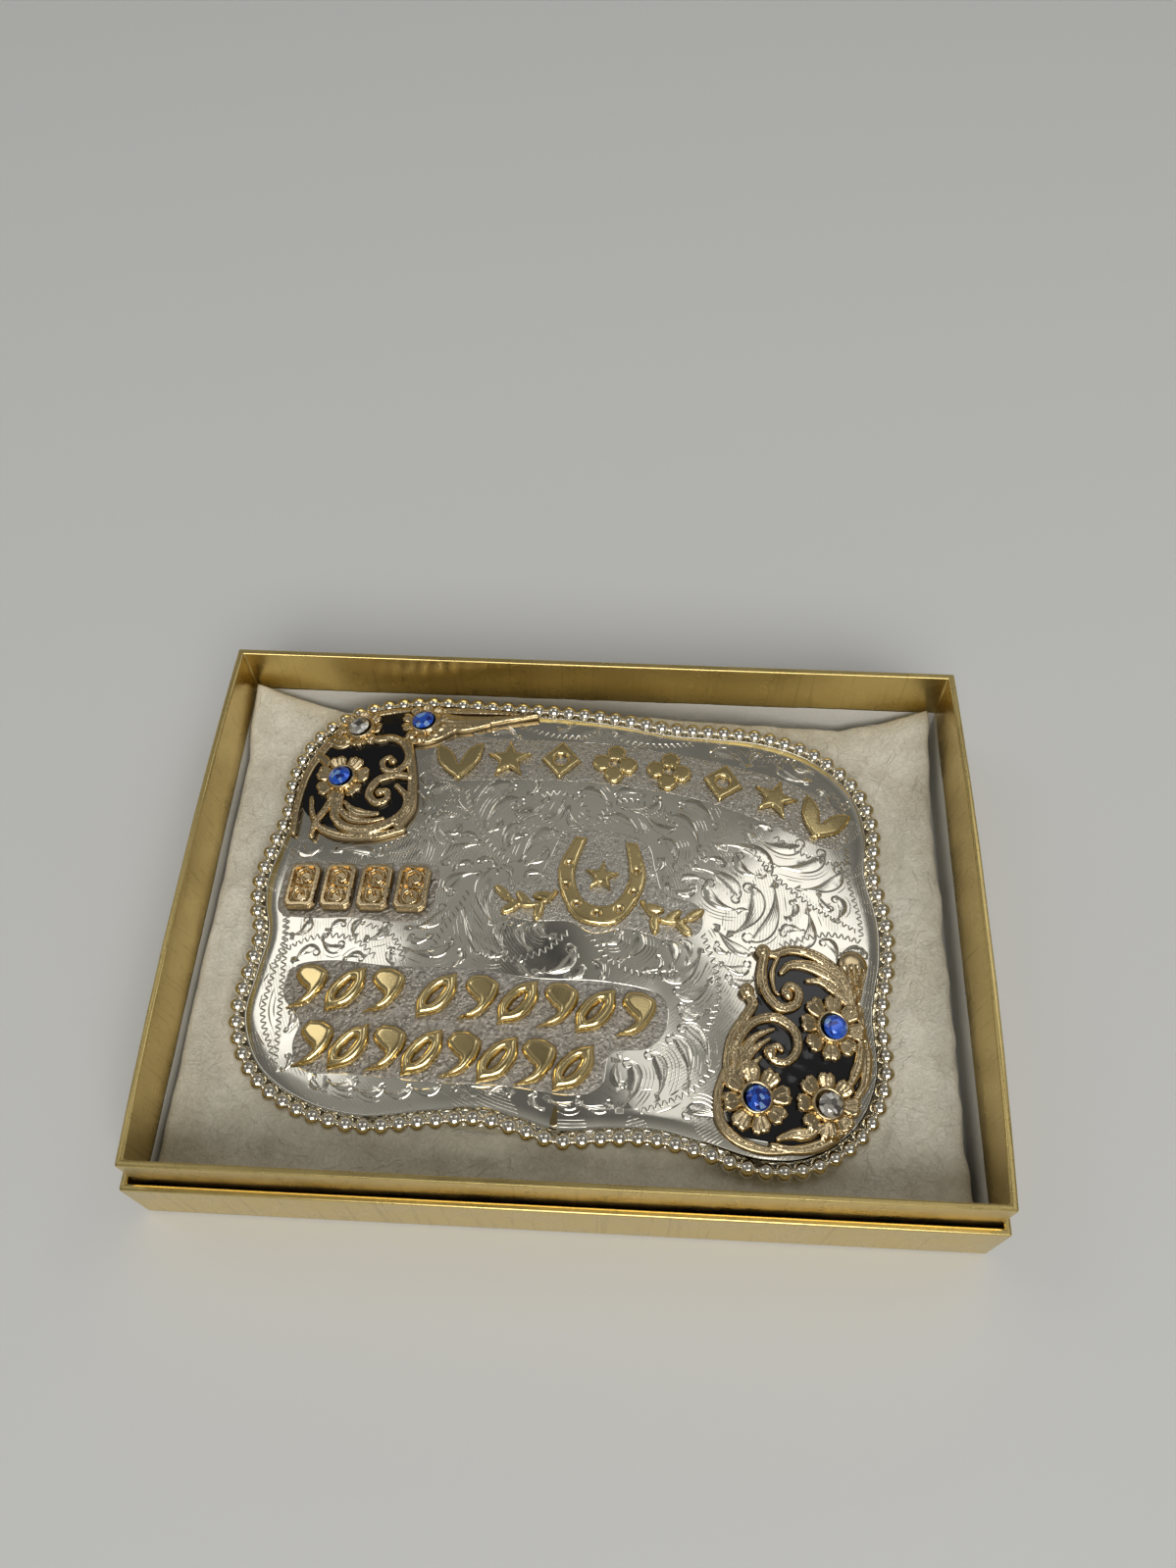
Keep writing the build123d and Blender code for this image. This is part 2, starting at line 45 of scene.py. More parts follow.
class Shade:
    """A socket of a material's nodes. Sums and products of shades add Math nodes."""

    def __init__(self, tree, socket=None):
        self.tree = tree
        self.socket = socket

    def node(self, kind, settings=None, values=None, out=0):
        """Any other node: its settings, then the values or links of its sockets."""
        made = self.tree.nodes.new(kind)
        for name, value in (settings or {}).items():
            if name == "stops":
                ramp = made.color_ramp
                while len(ramp.elements) < len(value):
                    ramp.elements.new(0.5)
                for stop, (place, colour) in zip(ramp.elements, value):
                    stop.position = place
                    stop.color = colour if len(colour) == 4 else (*colour, 1)
            else:
                setattr(made, name, value)
        for name, value in (values or {}).items():
            if isinstance(value, Shade):
                self.tree.links.new(value.socket, made.inputs[name])
            elif isinstance(value, tuple) and len(value) == 3 and made.inputs[name].type == "RGBA":
                made.inputs[name].default_value = (*value, 1)
            else:
                made.inputs[name].default_value = value
        return Shade(self.tree, made.outputs[out])

    def maths(self, operation, first, second):
        return self.node("ShaderNodeMath", {"operation": operation}, {0: first, 1: second})

    def __add__(self, other):
        return self.maths("ADD", self, other)

    def __radd__(self, other):
        return self.maths("ADD", other, self)

    def __sub__(self, other):
        return self.maths("SUBTRACT", self, other)

    def __rsub__(self, other):
        return self.maths("SUBTRACT", other, self)

    def __mul__(self, other):
        return self.maths("MULTIPLY", self, other)

    def __rmul__(self, other):
        return self.maths("MULTIPLY", other, self)

    def between(self, low, high):
        """0 below low, 1 above high."""
        return self.node("ShaderNodeMapRange", {"interpolation_type": "SMOOTHSTEP"},
                         {"Value": self, "From Min": low, "From Max": high})

    def mixed(self, first, second):
        """Colour that goes from first to second as this shade goes from 0 to 1."""
        return self.node("ShaderNodeMix", {"data_type": "RGBA"}, {0: self, 6: first, 7: second}, 2)


def material(name):
    """A new material: its base shade, its object coordinates and its main shader."""
    made = bpy.data.materials.new(name)
    made.use_nodes = True
    base = Shade(made.node_tree)
    spot = base.node("ShaderNodeTexCoord", out=3)
    shader = made.node_tree.nodes["Principled BSDF"]
    return made, base, spot, shader


def noise(base, spot, scale, detail=2.0, rough=0.5, stretch=None):
    """Fractal noise, with lumps of 1/scale metres, stretched by a scale on each axis."""
    if stretch:
        spot = base.node("ShaderNodeMapping", None, {"Vector": spot, "Scale": stretch})
    return base.node("ShaderNodeTexNoise", None,
                     {"Vector": spot, "Scale": scale, "Detail": detail, "Roughness": rough})


def paint(shader, **values):
    """Set sockets of a shader, by value or by link."""
    names = {"colour": "Base Color", "rough": "Roughness", "metal": "Metallic",
             "normal": "Normal", "coat": "Coat Weight"}
    for word, value in values.items():
        socket = shader.inputs[names.get(word, word)]
        if isinstance(value, Shade):
            value.tree.links.new(value.socket, socket)
        elif isinstance(value, tuple) and len(value) == 3 and socket.type == "RGBA":
            socket.default_value = (*value, 1)
        else:
            socket.default_value = value


def bump(base, height, depth, strength=1.0, under=None):
    """Normal for a height shade that runs from 0 to 1 over a depth in metres."""
    values = {"Height": height, "Distance": depth, "Strength": strength}
    if under:
        values["Normal"] = under
    return base.node("ShaderNodeBump", None, values)


def mesh_piece(name, points, faces, finish, smooth=True):
    """A mesh object made of points in metres, with one material."""
    mesh = bpy.data.meshes.new(name)
    mesh.from_pydata([tuple(p) for p in points], [], [tuple(f) for f in faces])
    mesh.materials.append(finish)
    mesh.polygons.foreach_set("use_smooth", [smooth] * len(mesh.polygons))
    mesh.update()
    piece = bpy.data.objects.new(name, mesh)
    bpy.context.scene.collection.objects.link(piece)
    return piece


TABLE_REACH = 2.4
TABLE_SIDES = 96
TABLE_GAP = 0.0002
table_paint, base, spot, shader = material("table_paint")
speck = noise(base, spot, 900, 3)
paint(shader, colour=(0.74, 0.75, 0.745), rough=0.55,
      normal=bump(base, speck, 0.00002, 0.2))
rim = [(TABLE_REACH * math.cos(turn), TABLE_REACH * math.sin(turn), -TABLE_GAP)
       for turn in np.linspace(0, math.tau, TABLE_SIDES, endpoint=False)]
table = mesh_piece("table", rim, [range(TABLE_SIDES)], table_paint, smooth=False)

CAMERA_PLACE = (0.008429, -0.090513, 0.213995)
SENSOR_WIDTH, LENS = 36.0, 37.92
camera = bpy.data.objects.new("camera", bpy.data.cameras.new("camera"))
bpy.context.scene.collection.objects.link(camera)
RIGHT = Vector((0.99863, 0.05131, -0.00997))
DOWN = Vector((0.03909, -0.85972, -0.50927))
AHEAD = Vector((-0.0347, 0.50818, -0.86055))
turn = Matrix((RIGHT, -DOWN, -AHEAD)).transposed().to_4x4()
camera.matrix_world = Matrix.Translation(CAMERA_PLACE) @ turn
camera.data.sensor_fit = "HORIZONTAL"
camera.data.sensor_width = SENSOR_WIDTH
camera.data.lens = LENS
camera.data.clip_start = 0.01
bpy.context.scene.camera = camera


# Lamps, all turned to the object: place, size, power in watts, tint.
LAMPS = {
    "lamp_behind": ((0.25, -1.15, 1.25), (1.3, 0.9), 16, (1.0, 0.985, 0.96)),
    "lamp_left": ((-0.80, 0.36, 1.05), (0.42, 0.5), 0.72, (1, 1, 1)),
    "lamp_right": ((0.56, 0.46, 1.05), (0.46, 0.46), 0.66, (1, 1, 1)),
    "lamp_low": ((0.18, 0.12, 1.05), (0.3, 0.16), 0.11, (1, 1, 1)),
}
for name, (place, size, power, tint) in LAMPS.items():
    lamp = bpy.data.objects.new(name, bpy.data.lights.new(name, "AREA"))
    lamp.data.shape = "RECTANGLE"
    lamp.data.size, lamp.data.size_y = size
    lamp.data.energy = power
    lamp.data.color = tint
    lamp.location = place
    lamp.rotation_euler = (-Vector(place)).to_track_quat("-Z", "Y").to_euler()
    bpy.context.scene.collection.objects.link(lamp)

# Brightness of the room, from the horizon at 0 to straight overhead at 1. A dark screen
# hangs in one direction of it.
ROOM_LEVELS = ((0.0, 0.42), (0.3, 0.34), (0.56, 0.13), (0.72, 0.15), (0.80, 0.27), (0.94, 0.25),
               (1.0, 0.09))
ROOM_TINT = (1, 0.985, 0.94)
SCREEN_WAY = (-0.10, 0.33, 0.938)
room = bpy.data.worlds.new("room")
room.use_nodes = True
air = Shade(room.node_tree)
way = air.node("ShaderNodeTexCoord")
upward = air.node("ShaderNodeSeparateXYZ", None, {"Vector": way}, 2)
off_screen = air.node("ShaderNodeVectorMath", {"operation": "DISTANCE"}, {0: way, 1: SCREEN_WAY}, 1)
stops = [(place, tuple(level * tint for tint in ROOM_TINT)) for place, level in ROOM_LEVELS]
glow = air.node("ShaderNodeValToRGB", {"stops": stops}, {0: upward})
backdrop = room.node_tree.nodes["Background"]
strength = off_screen.between(0.05, 0.13) * 0.8 + 0.2
room.node_tree.links.new(glow.socket, backdrop.inputs["Color"])
room.node_tree.links.new(strength.socket, backdrop.inputs["Strength"])
bpy.context.scene.world = room
bpy.context.scene.view_settings.view_transform = "Standard"


# The gift box: two shallow card trays wrapped in gold foil paper, the lid turned over
# and the tray standing in it. The foil is folded in over the rims and glued down, and
# below its edge the white liner of the card shows.

FOIL_EDGE = 0.0122
TRAY_MIDDLE = (0.0003, 0.00025)
INSIDE_HALF = (0.0681, 0.0487)
INSIDE_BLEND = 0.0001
FOLD_RADIUS = 0.00034


def dress(name, finish):
    """Give a CAD node its material, in place of the plain one that it came with."""
    nodes[name].data.materials.clear()
    nodes[name].data.materials.append(finish)


def merged_copy(name, node, finish):
    """A copy of a CAD node with its loose triangles joined into whole faces."""
    mesh = nodes[node].data.copy()
    mesh.name = name
    mesh.materials.clear()
    mesh.materials.append(finish)
    shape = bmesh.new()
    shape.from_mesh(mesh)
    bmesh.ops.remove_doubles(shape, verts=shape.verts, dist=0.000002)
    bmesh.ops.dissolve_limit(shape, angle_limit=math.radians(1.0), verts=shape.verts,
                             edges=shape.edges)
    shape.to_mesh(mesh)
    shape.free()
    piece = bpy.data.objects.new(name, mesh)
    bpy.context.scene.collection.objects.link(piece)
    return piece


foil, base, spot, shader = material("foil_paper")
axes = [base.node("ShaderNodeSeparateXYZ", None, {"Vector": spot}, k) for k in range(3)]
in_x, in_y = [
    ((axis - middle) * (axis - middle)).between(half ** 2, (half - INSIDE_BLEND) ** 2)
    for axis, middle, half in zip(axes, TRAY_MIDDLE, INSIDE_HALF)]
ragged = noise(base, spot, 160, 2) * 0.0006
liner = in_x * in_y * (axes[2] + ragged).between(FOIL_EDGE + 0.0001, FOIL_EDGE)
seam = in_x * in_y * (axes[2] + ragged).between(FOIL_EDGE, FOIL_EDGE + 0.00035)
grain = noise(base, spot, 1.0, 3, 0.6, (25, 25, 3200))
weft = noise(base, spot, 1.0, 2, 0.5, (1500, 1500, 40))
dents = noise(base, spot, 45, 3, 0.5)
tarnish = noise(base, spot, 120, 4, 0.6)
gold = tarnish.mixed((0.60, 0.46, 0.17), (0.78, 0.61, 0.26))
gold = (weft.between(0.55, 0.75) * 0.35).mixed(gold, (0.36, 0.26, 0.08))
fibre = noise(base, spot, 1800, 4, 0.7)
paint(shader, colour=liner.mixed(gold, fibre.mixed((0.66, 0.65, 0.61), (0.80, 0.79, 0.75))),
      metal=1.0 - liner, rough=tarnish.between(0.3, 0.7) * 0.10 + 0.24 + liner * 0.5,
      normal=bump(base, grain * 0.7 + weft * 0.5, 0.00004, 0.55,
                  bump(base, dents, 0.0006, 0.25, bump(base, seam, 0.00012, 0.9))))
for name in ("box_lid", "box_tray"):
    shell = merged_copy("foil_" + name, name, foil)
    fold = shell.modifiers.new("folded_edges", "BEVEL")
    fold.width = FOLD_RADIUS
    fold.segments = 3
    fold.limit_method = "ANGLE"
    fold.angle_limit = math.radians(50)
    shell.data.polygons.foreach_set("use_smooth", [True] * len(shell.data.polygons))
    shell.data.set_sharp_from_angle(angle=math.radians(35))
    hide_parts(name)
    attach(shell, "root")


# The cotton pad: a slab of bleached cotton wool. Its back corners ride up the walls, its back
# edge sags, and the buckle presses it down. Loose fibres lie on its face. Sizes in millimetres.

BUCKLE_TURN = math.radians(-4.1)
BUCKLE_SHIFT = (-1.7, 0.0)
TURN_COS, TURN_SIN = math.cos(BUCKLE_TURN), math.sin(BUCKLE_TURN)
PAD_LEFT, PAD_RIGHT, PAD_FRONT, PAD_BACK = -66.0, 65.8, -46.2, 47.5
PAD_BOTTOM = 2.9
PAD_LEVEL, PAD_CROWN, PAD_CROWN_REACH = 10.2, 3.6, 48
PAD_SAG = 3.0
PAD_BACK_DROP, PAD_DROP_REACH = 2.4, 11.5
PAD_CORNER_LIFT, PAD_CORNER_LENGTH, PAD_CORNER_WIDTH = 6.2, 17, 15
PAD_STEP = 0.62
PAD_ROUND = 1.3
POCKET = (40.0, 25.0, 6.3)
POCKET_SLOPE = 3
UNDER_PLATE = 18.0
FIBRES = 2600
FIBRE_STEPS = 7
FIBRE_HALF = 0.028


def left_of(line):
    """Unit vectors to the left of a line."""
    along = np.gradient(line, axis=0)
    along /= np.linalg.norm(along, axis=1)[:, None]
    return np.c_[-along[:, 1], along[:, 0]]


def lumps(x, y, scale, seed):
    """Smooth random height between -1 and 1, with lumps of about a given size."""
    turn = np.random.default_rng(seed)
    total = np.zeros(np.shape(x))
    for size, weight in ((1.0, 0.6), (0.47, 0.3), (0.21, 0.16)):
        for _ in range(5):
            a, phase = turn.uniform(0, math.tau), turn.uniform(0, math.tau)
            bend = np.sin(x / (scale * size * 2.3) + phase) * turn.uniform(0.5, 1.4)
            way = (x * math.cos(a) + y * math.sin(a)) / (scale * size)
            total += weight / 2.2 * np.sin(way + phase + bend)
    return total


def pad_top(x, y):
    """Height of the cotton's face over a place in the box, with the buckle's weight on it."""
    behind = np.clip(1 - (PAD_BACK - y) / PAD_DROP_REACH, 0, 1)
    corner = np.hypot(np.clip(PAD_RIGHT - np.abs(x), 0, None) / PAD_CORNER_LENGTH,
                      np.clip(PAD_BACK - y, 0, None) / PAD_CORNER_WIDTH)
    level = PAD_LEVEL + PAD_CROWN * np.clip(1 - (x / PAD_CROWN_REACH) ** 2, 0, 1)
    level -= PAD_BACK_DROP * behind ** 2
    level += PAD_CORNER_LIFT * np.clip(1 - corner, 0, 1)
    level += (1.7 * np.clip(1 - (x - PAD_LEFT) / 13, 0, 1) ** 1.5
              + 0.5 * np.clip(1 - (PAD_RIGHT - x) / 10, 0, 1))
    level += 0.42 * lumps(x, y, 5.0, 3) + 0.16 * lumps(x, y, 1.3, 4)
    u = (x - BUCKLE_SHIFT[0]) * TURN_COS + y * TURN_SIN
    v = y * TURN_COS - (x - BUCKLE_SHIFT[0]) * TURN_SIN
    around = (np.abs(u / 57) ** 5 + np.abs(v / 42) ** 5) ** 0.2
    plate = UNDER_PLATE - u * u / 470 - v * v / 640
    level = np.minimum(level, plate + 40 * np.clip(around - 1.02, 0, None))
    pressed = np.minimum(POCKET[0] - np.abs(u), POCKET[1] - np.abs(v)) / POCKET_SLOPE
    pressed = np.clip(pressed, 0, 1)
    pressed = pressed * pressed * (3 - 2 * pressed)
    return level * (1 - pressed) + POCKET[2] * pressed, around


columns = round((PAD_RIGHT - PAD_LEFT) / PAD_STEP)
rows = round((PAD_BACK - PAD_FRONT) / PAD_STEP)
a, b = np.meshgrid(np.linspace(-1, 1, columns), np.linspace(-1, 1, rows))
ragged = 0.3 + 0.3 * lumps(a * 60, b * 40, 3.5, 9)
half = ((PAD_RIGHT - PAD_LEFT) / 2 - 0.3 * (1 - b ** 2)
        - ragged * np.abs(a) ** 9 * (1 + 0.6 * np.sign(a)))
x = (PAD_LEFT + PAD_RIGHT) / 2 + a * half
back = PAD_BACK - PAD_SAG * (1 - a ** 2) - 0.25 - 0.25 * lumps(a * 60, a * 9, 4, 11)
front = PAD_FRONT - 0.7 * (1 - a ** 2)
y = front + (back - front) * (b + 1) / 2
edge = np.minimum(np.minimum(x - x[:, :1], x[:, -1:] - x), np.minimum(y - front, back - y))
top = pad_top(x, y)[0] - 1.2 * (1 - np.sqrt(1 - np.clip(1 - edge / PAD_ROUND, 0, 1) ** 2))
top = np.stack([x, y, top], -1).reshape(-1, 3)
grid = np.arange(columns * rows).reshape(rows, columns)
quads = np.stack([grid[:-1, :-1], grid[:-1, 1:], grid[1:, 1:], grid[1:, :-1]], -1).reshape(-1, 4)
ring = np.r_[grid[0, :-1], grid[:-1, -1], grid[-1, :0:-1], grid[:0:-1, 0]]
low = top[ring] * (1, 1, 0) + (0, 0, PAD_BOTTOM)
first, n = len(top), len(ring)
walls = [(ring[k], first + k, first + (k + 1) % n, ring[(k + 1) % n]) for k in range(n)]
walls += [(first + k, first + n, first + (k + 1) % n) for k in range(n)]
wool, base, spot, shader = material("cotton_wool")
strands = noise(base, spot, 420, 8, 0.75)
threads = base.node("ShaderNodeTexNoise", None, {
    "Vector": spot, "Scale": 520.0, "Detail": 4.0, "Roughness": 0.6, "Distortion": 3.5})
clumps = noise(base, spot, 90, 4, 0.6)
wads = noise(base, spot, 40, 3, 0.6)
shade = (clumps.between(0.36, 0.64) * 0.35 + threads.between(0.38, 0.62) * 0.35
         + wads.between(0.35, 0.65) * 0.3)
paint(shader, colour=shade.mixed((0.62, 0.575, 0.45), (0.93, 0.89, 0.775)), rough=0.95,
      normal=bump(base, strands * 0.6 + threads * 0.8, 0.0009, 0.55,
                  bump(base, clumps, 0.0012, 0.35)))
shader.inputs["Sheen Weight"].default_value = 0.25
pad = mesh_piece("cotton_batting", np.vstack([top, low, [[0, 0, PAD_BOTTOM]]]) / 1000,
                 list(map(tuple, quads)) + walls, wool)
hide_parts("cotton_pad")
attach(pad, "root")

random = np.random.default_rng(21)
points, faces = [], []
for _ in range(FIBRES):
    fx, fy = random.uniform(-63, 63), random.uniform(-44.5, 44)
    if fy > PAD_BACK - 2 - PAD_SAG * (1 - (fx / 66) ** 2) or pad_top(fx, fy)[1] < 1:
        continue
    length, heading = random.uniform(1.5, 7.0), random.uniform(0, 360)
    turn = np.radians(heading) + np.cumsum(random.normal(0, 0.42, FIBRE_STEPS))
    line = np.c_[fx + np.cumsum(np.cos(turn)) * length / FIBRE_STEPS,
                 fy + np.cumsum(np.sin(turn)) * length / FIBRE_STEPS]
    line = np.clip(line, (-64.6, -45.4), (64.4, 45.4))
    arch = np.sin(np.linspace(0, math.pi, FIBRE_STEPS)) ** 2
    height = pad_top(*line.T)[0] + 0.03 + random.uniform(0.0, 0.4) * arch
    side = left_of(line) * FIBRE_HALF
    start = len(points)
    for middle, out, up in zip(line, side, height):
        points += [(*(middle + out), up), (*(middle - out), up), (*middle, up + 0.05)]
    for k in range(FIBRE_STEPS - 1):
        i, j = start + 3 * k, start + 3 * k + 3
        faces += [(i, j, j + 2, i + 2), (i + 2, j + 2, j + 1, i + 1), (i + 1, j + 1, j, i)]
    last = start + 3 * FIBRE_STEPS - 3
    faces += [(start, start + 2, start + 1), (last, last + 1, last + 2)]
strand, base, spot, shader = material("cotton_fibre")
paint(shader, rough=0.9,
      colour=noise(base, spot, 300, 2).mixed((0.70, 0.66, 0.56), (0.86, 0.83, 0.75)))
loose = mesh_piece("cotton_fibres", np.array(points) / 1000, faces, strand)
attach(loose, "root")


# The face plate: a sheet of nickel silver, cut to a scalloped outline and domed. Scrolls of
# leaves and roped stems are engraved by hand, and the ground under the ornaments is
# stippled with a matting punch. All plan sizes are millimetres in the buckle's own plan.

CROWN, LENGTH_RADIUS, WIDTH_RADIUS = 20.3, 235.0, 320.0
PLATE_THICKNESS = 1.8
PLATE_INSET = 1.55
EDGE_ROLL = 2.4
EDGE_DROP = 0.3
CUT_DEPTH = 0.22
LEAF_SWELL = 0.075
PLAN_X, PLAN_Y, CELL = 58, 43, 0.3
MIDDLE = 2.5
EDGE_MARGIN = 1.8
RIM_INSET = 4.9
BORDER_HALF = 0.09
FULL_GRAVER = 0.12
BEAD_LINE = [
    (-56.4, 1.0), (-55.7, 8.5), (-54.7, 15.2), (-55.5, 24.5), (-52.7, 33.3),
    (-45.5, 39.1), (-34.0, 41.4), (-19.6, 41.0), (-4.0, 40.9), (7.0, 40.4),
    (15.0, 39.7), (23.0, 40.4), (32.5, 40.9), (42.4, 38.8), (50.2, 32.6),
    (53.3, 24.0), (53.2, 15.0), (55.6, 6.0), (56.0, -2.0), (54.9, -11.5),
    (55.9, -21.8), (52.6, -31.3), (45.1, -37.8), (36.0, -39.9), (26.0, -38.5),
    (18.5, -37.7), (10.5, -38.6), (3.6, -39.8), (-3.0, -38.7), (-9.5, -37.8),
    (-18.5, -39.2), (-29.0, -40.8), (-39.8, -38.9), (-48.8, -33.6), (-53.8, -25.0),
    (-53.8, -16.0), (-53.5, -9.5), (-55.3, -4.5),
]
LEFT_RIM = [
    (-49.8, 9.6), (-52.2, 14.0), (-53.1, 22.0), (-52.0, 29.0), (-48.6, 34.6), (-43.0, 38.2),
    (-35.0, 39.4), (-22.0, 39.2), (-10.5, 38.9), (-12.0, 38.0), (-19.5, 35.9), (-26.0, 33.6),
    (-30.2, 30.2), (-31.0, 24.0), (-29.8, 17.0), (-30.2, 12.4), (-34.6, 9.8), (-40.0, 9.0),
]
RIGHT_RIM = [
    (33.4, -4.4), (38.0, -2.9), (43.0, -2.9), (51.9, -4.1), (50.9, -10.0), (51.6, -15.5),
    (52.4, -21.5), (50.8, -28.0), (46.5, -33.4), (41.0, -35.6), (35.5, -37.0), (30.6, -35.4),
    (28.2, -30.0), (27.4, -25.0), (28.4, -18.5), (30.6, -12.2), (32.8, -9.4),
]
STIPPLE_STRENGTHS = (0.55, 0.8, 0.5, 1.0)
STIPPLED = [
    [(-27.5, 23.6), (-12, 24.2), (4, 25.0), (20, 24.2), (32, 21.8), (44.6, 18.4), (48.6, 21.4),
     (46, 27.4),
     (36, 31.4), (22, 33.2), (4, 34.0), (-14, 33.4), (-27.5, 32.2)],
    [(-50.6, -5.2), (-44, -6.1), (-37, -5.7), (-30, -6.2), (-24.0, -5.0), (-23.2, 0.4),
     (-24.0, 4.8), (-31, 5.2),
     (-38, 4.7), (-45, 5.1), (-50.8, 4.4), (-51.6, 0.0)],
    [(-12.8, -2.2), (-6.4, -4.0), (0.4, -3.4), (5.2, -5.0), (10.4, -3.4), (17.2, -4.4),
     (22.8, -2.4), (22.4, 2.4),
     (16.4, 4.0), (14.4, 8.2), (12.2, 13.4), (5.2, 14.8), (-2.0, 13.4), (-4.2, 8.2), (-6.2, 3.8),
     (-12.4, 2.6)],
    [(-45.4, -15.4), (-38.6, -13.9), (-28, -14.3), (-16, -13.6), (-4, -14.2), (8, -13.4),
     (17.2, -14.4),
     (19.0, -19.0), (16.4, -23.4), (10.4, -25.2), (9.4, -30.4), (5.0, -32.6), (-6, -32.4),
     (-18, -33.0),
     (-30, -32.8), (-39.6, -32.8), (-42.4, -29.0), (-42.2, -24.6), (-46.0, -20.4)],
]


def run_of(line):
    """Distance along a line to each of its points."""
    return np.r_[0, np.cumsum(np.hypot(*np.diff(line, axis=0).T))]


def places_at(line, at):
    """Places on a line at given distances along it."""
    run = run_of(line)
    return np.c_[np.interp(at, run, line[:, 0]), np.interp(at, run, line[:, 1])]


def smooth_line(points, step=0.5, closed=False):
    """Points evenly spaced along a smooth curve through a few places."""
    p = np.array(points, float)
    p = np.vstack([p[-1], p, p[:2]] if closed else [2 * p[0] - p[1], p, 2 * p[-1] - p[-2]])
    t = np.linspace(0, 1, 24, endpoint=False)[:, None]
    fine = [b + 0.5 * t * ((c - a) + t * ((2 * a - 5 * b + 4 * c - d) + t * (3 * (b - c) + d - a)))
            for a, b, c, d in zip(p, p[1:], p[2:], p[3:])]
    fine = np.vstack(fine + [p[-2:-1]])
    length = run_of(fine)[-1]
    return places_at(fine, np.linspace(0, length, max(3, round(length / step))))


def bent_line(x, y, heading, length, bend, late=1.6, step=0.5):
    """Line that starts straight and bends more and more."""
    n = max(5, round(length / step) + 1)
    angle = np.radians(heading + bend * np.linspace(0, 1, n) ** late)
    middle = (angle[1:] + angle[:-1]) / 2
    run = length / (n - 1)
    return np.c_[x + np.r_[0, np.cumsum(np.cos(middle) * run)],
                 y + np.r_[0, np.cumsum(np.sin(middle) * run)]]


def inside(loop, x, y):
    """Whether points lie inside a closed loop."""
    odd = np.zeros(np.shape(x), bool)
    for (ax, ay), (bx, by) in zip(loop, np.roll(loop, -1, axis=0)):
        if ay != by:
            odd ^= ((ay > y) != (by > y)) & (x < (bx - ax) * (y - ay) / (by - ay) + ax)
    return odd


def reach_of(loop, x, y, closed=True):
    """Distance from points to a line."""
    far = np.full(np.shape(x), 1e9)
    for (ax, ay), (bx, by) in zip(loop, np.roll(loop, -1, axis=0) if closed else loop[1:]):
        ex, ey = bx - ax, by - ay
        share = np.clip(((x - ax) * ex + (y - ay) * ey) / (ex * ex + ey * ey + 1e-12), 0, 1)
        far = np.minimum(far, np.hypot(x - ax - share * ex, y - ay - share * ey))
    return far


bead_path = smooth_line(BEAD_LINE, 0.7, closed=True)[:-1]
plate_edge = bead_path - left_of(bead_path) * PLATE_INSET
grid_x, grid_y = np.meshgrid(np.arange(-PLAN_X, PLAN_X, CELL), np.arange(-PLAN_Y, PLAN_Y, CELL))
taken = ~inside(plate_edge, grid_x, grid_y)
taken |= reach_of(plate_edge[::2], grid_x, grid_y) < EDGE_MARGIN
for rim in (LEFT_RIM, RIGHT_RIM):
    taken |= inside(smooth_line(rim, 1, True), grid_x, grid_y)
grounds = [smooth_line(points, 0.5, closed=True)[:-1] for points in STIPPLED]
cuts = []
leaves = []
for ground in grounds:
    taken |= inside(ground, grid_x, grid_y)
    border = np.vstack([ground, ground[:1]])
    cuts.append((border, np.full(len(border), BORDER_HALF)))
off_limits = taken.copy()


def cells(line):
    """Rows and columns of the plan's cells that a line goes through."""
    return (np.clip(((line[:, 1] + PLAN_Y) / CELL).astype(int), 0, taken.shape[0] - 1),
            np.clip(((line[:, 0] + PLAN_X) / CELL).astype(int), 0, taken.shape[1] - 1))


def claim(line, reach):
    """Mark the plate as taken round a line."""
    steps = int(reach / CELL)
    row, column = cells(line)
    for i in range(-steps, steps + 1):
        for j in range(-steps, steps + 1):
            if i * i + j * j <= (reach / CELL) ** 2:
                taken[np.clip(row + i, 0, taken.shape[0] - 1),
                      np.clip(column + j, 0, taken.shape[1] - 1)] = True


def cut(line, width, enter=0.2, leave=0.3):
    """One pass of the graver: it sinks in, runs and lifts out."""
    share = np.linspace(0, 1, len(line))
    depth = np.clip(np.minimum(share / enter, (1 - share) / leave), 0, 1) ** 0.7
    cuts.append((line, width / 2 * depth))


def free_parts(line, limits, least=4):
    """The stretches of a line that are clear of a mask."""
    free = np.r_[False, ~limits[cells(line)], False]
    starts = np.flatnonzero(free[1:] & ~free[:-1])
    ends = np.flatnonzero(~free[1:] & free[:-1])
    return [line[a:b] for a, b in zip(starts, ends) if b - a > least]


def rope(points, tooth=1.15, reach=0.9, width=0.28):
    """Wriggle cut along a line, made by rocking a flat graver from side to side."""
    line = smooth_line(points)
    clear = np.flatnonzero(~off_limits[cells(line)])
    if len(clear) < 8:
        return line[:0]
    line = line[clear[0]:clear[-1] + 1]
    run = run_of(line)
    left = left_of(line)
    at = (np.arange(int(run[-1] / tooth))[:, None] + (0.0, 0.42, 0.60, 0.95)) * tooth
    side = np.broadcast_to((-0.5, 0.5, 0.5, -0.5), at.shape) * reach
    zigzag = np.stack([np.interp(at, run, line[:, i]) + side * np.interp(at, run, left[:, i])
                       for i in (0, 1)], -1).reshape(-1, 2)
    for part in free_parts(zigzag, off_limits):
        cuts.append((part, np.full(len(part), width / 2)))
    claim(line, 0.75)
    return line


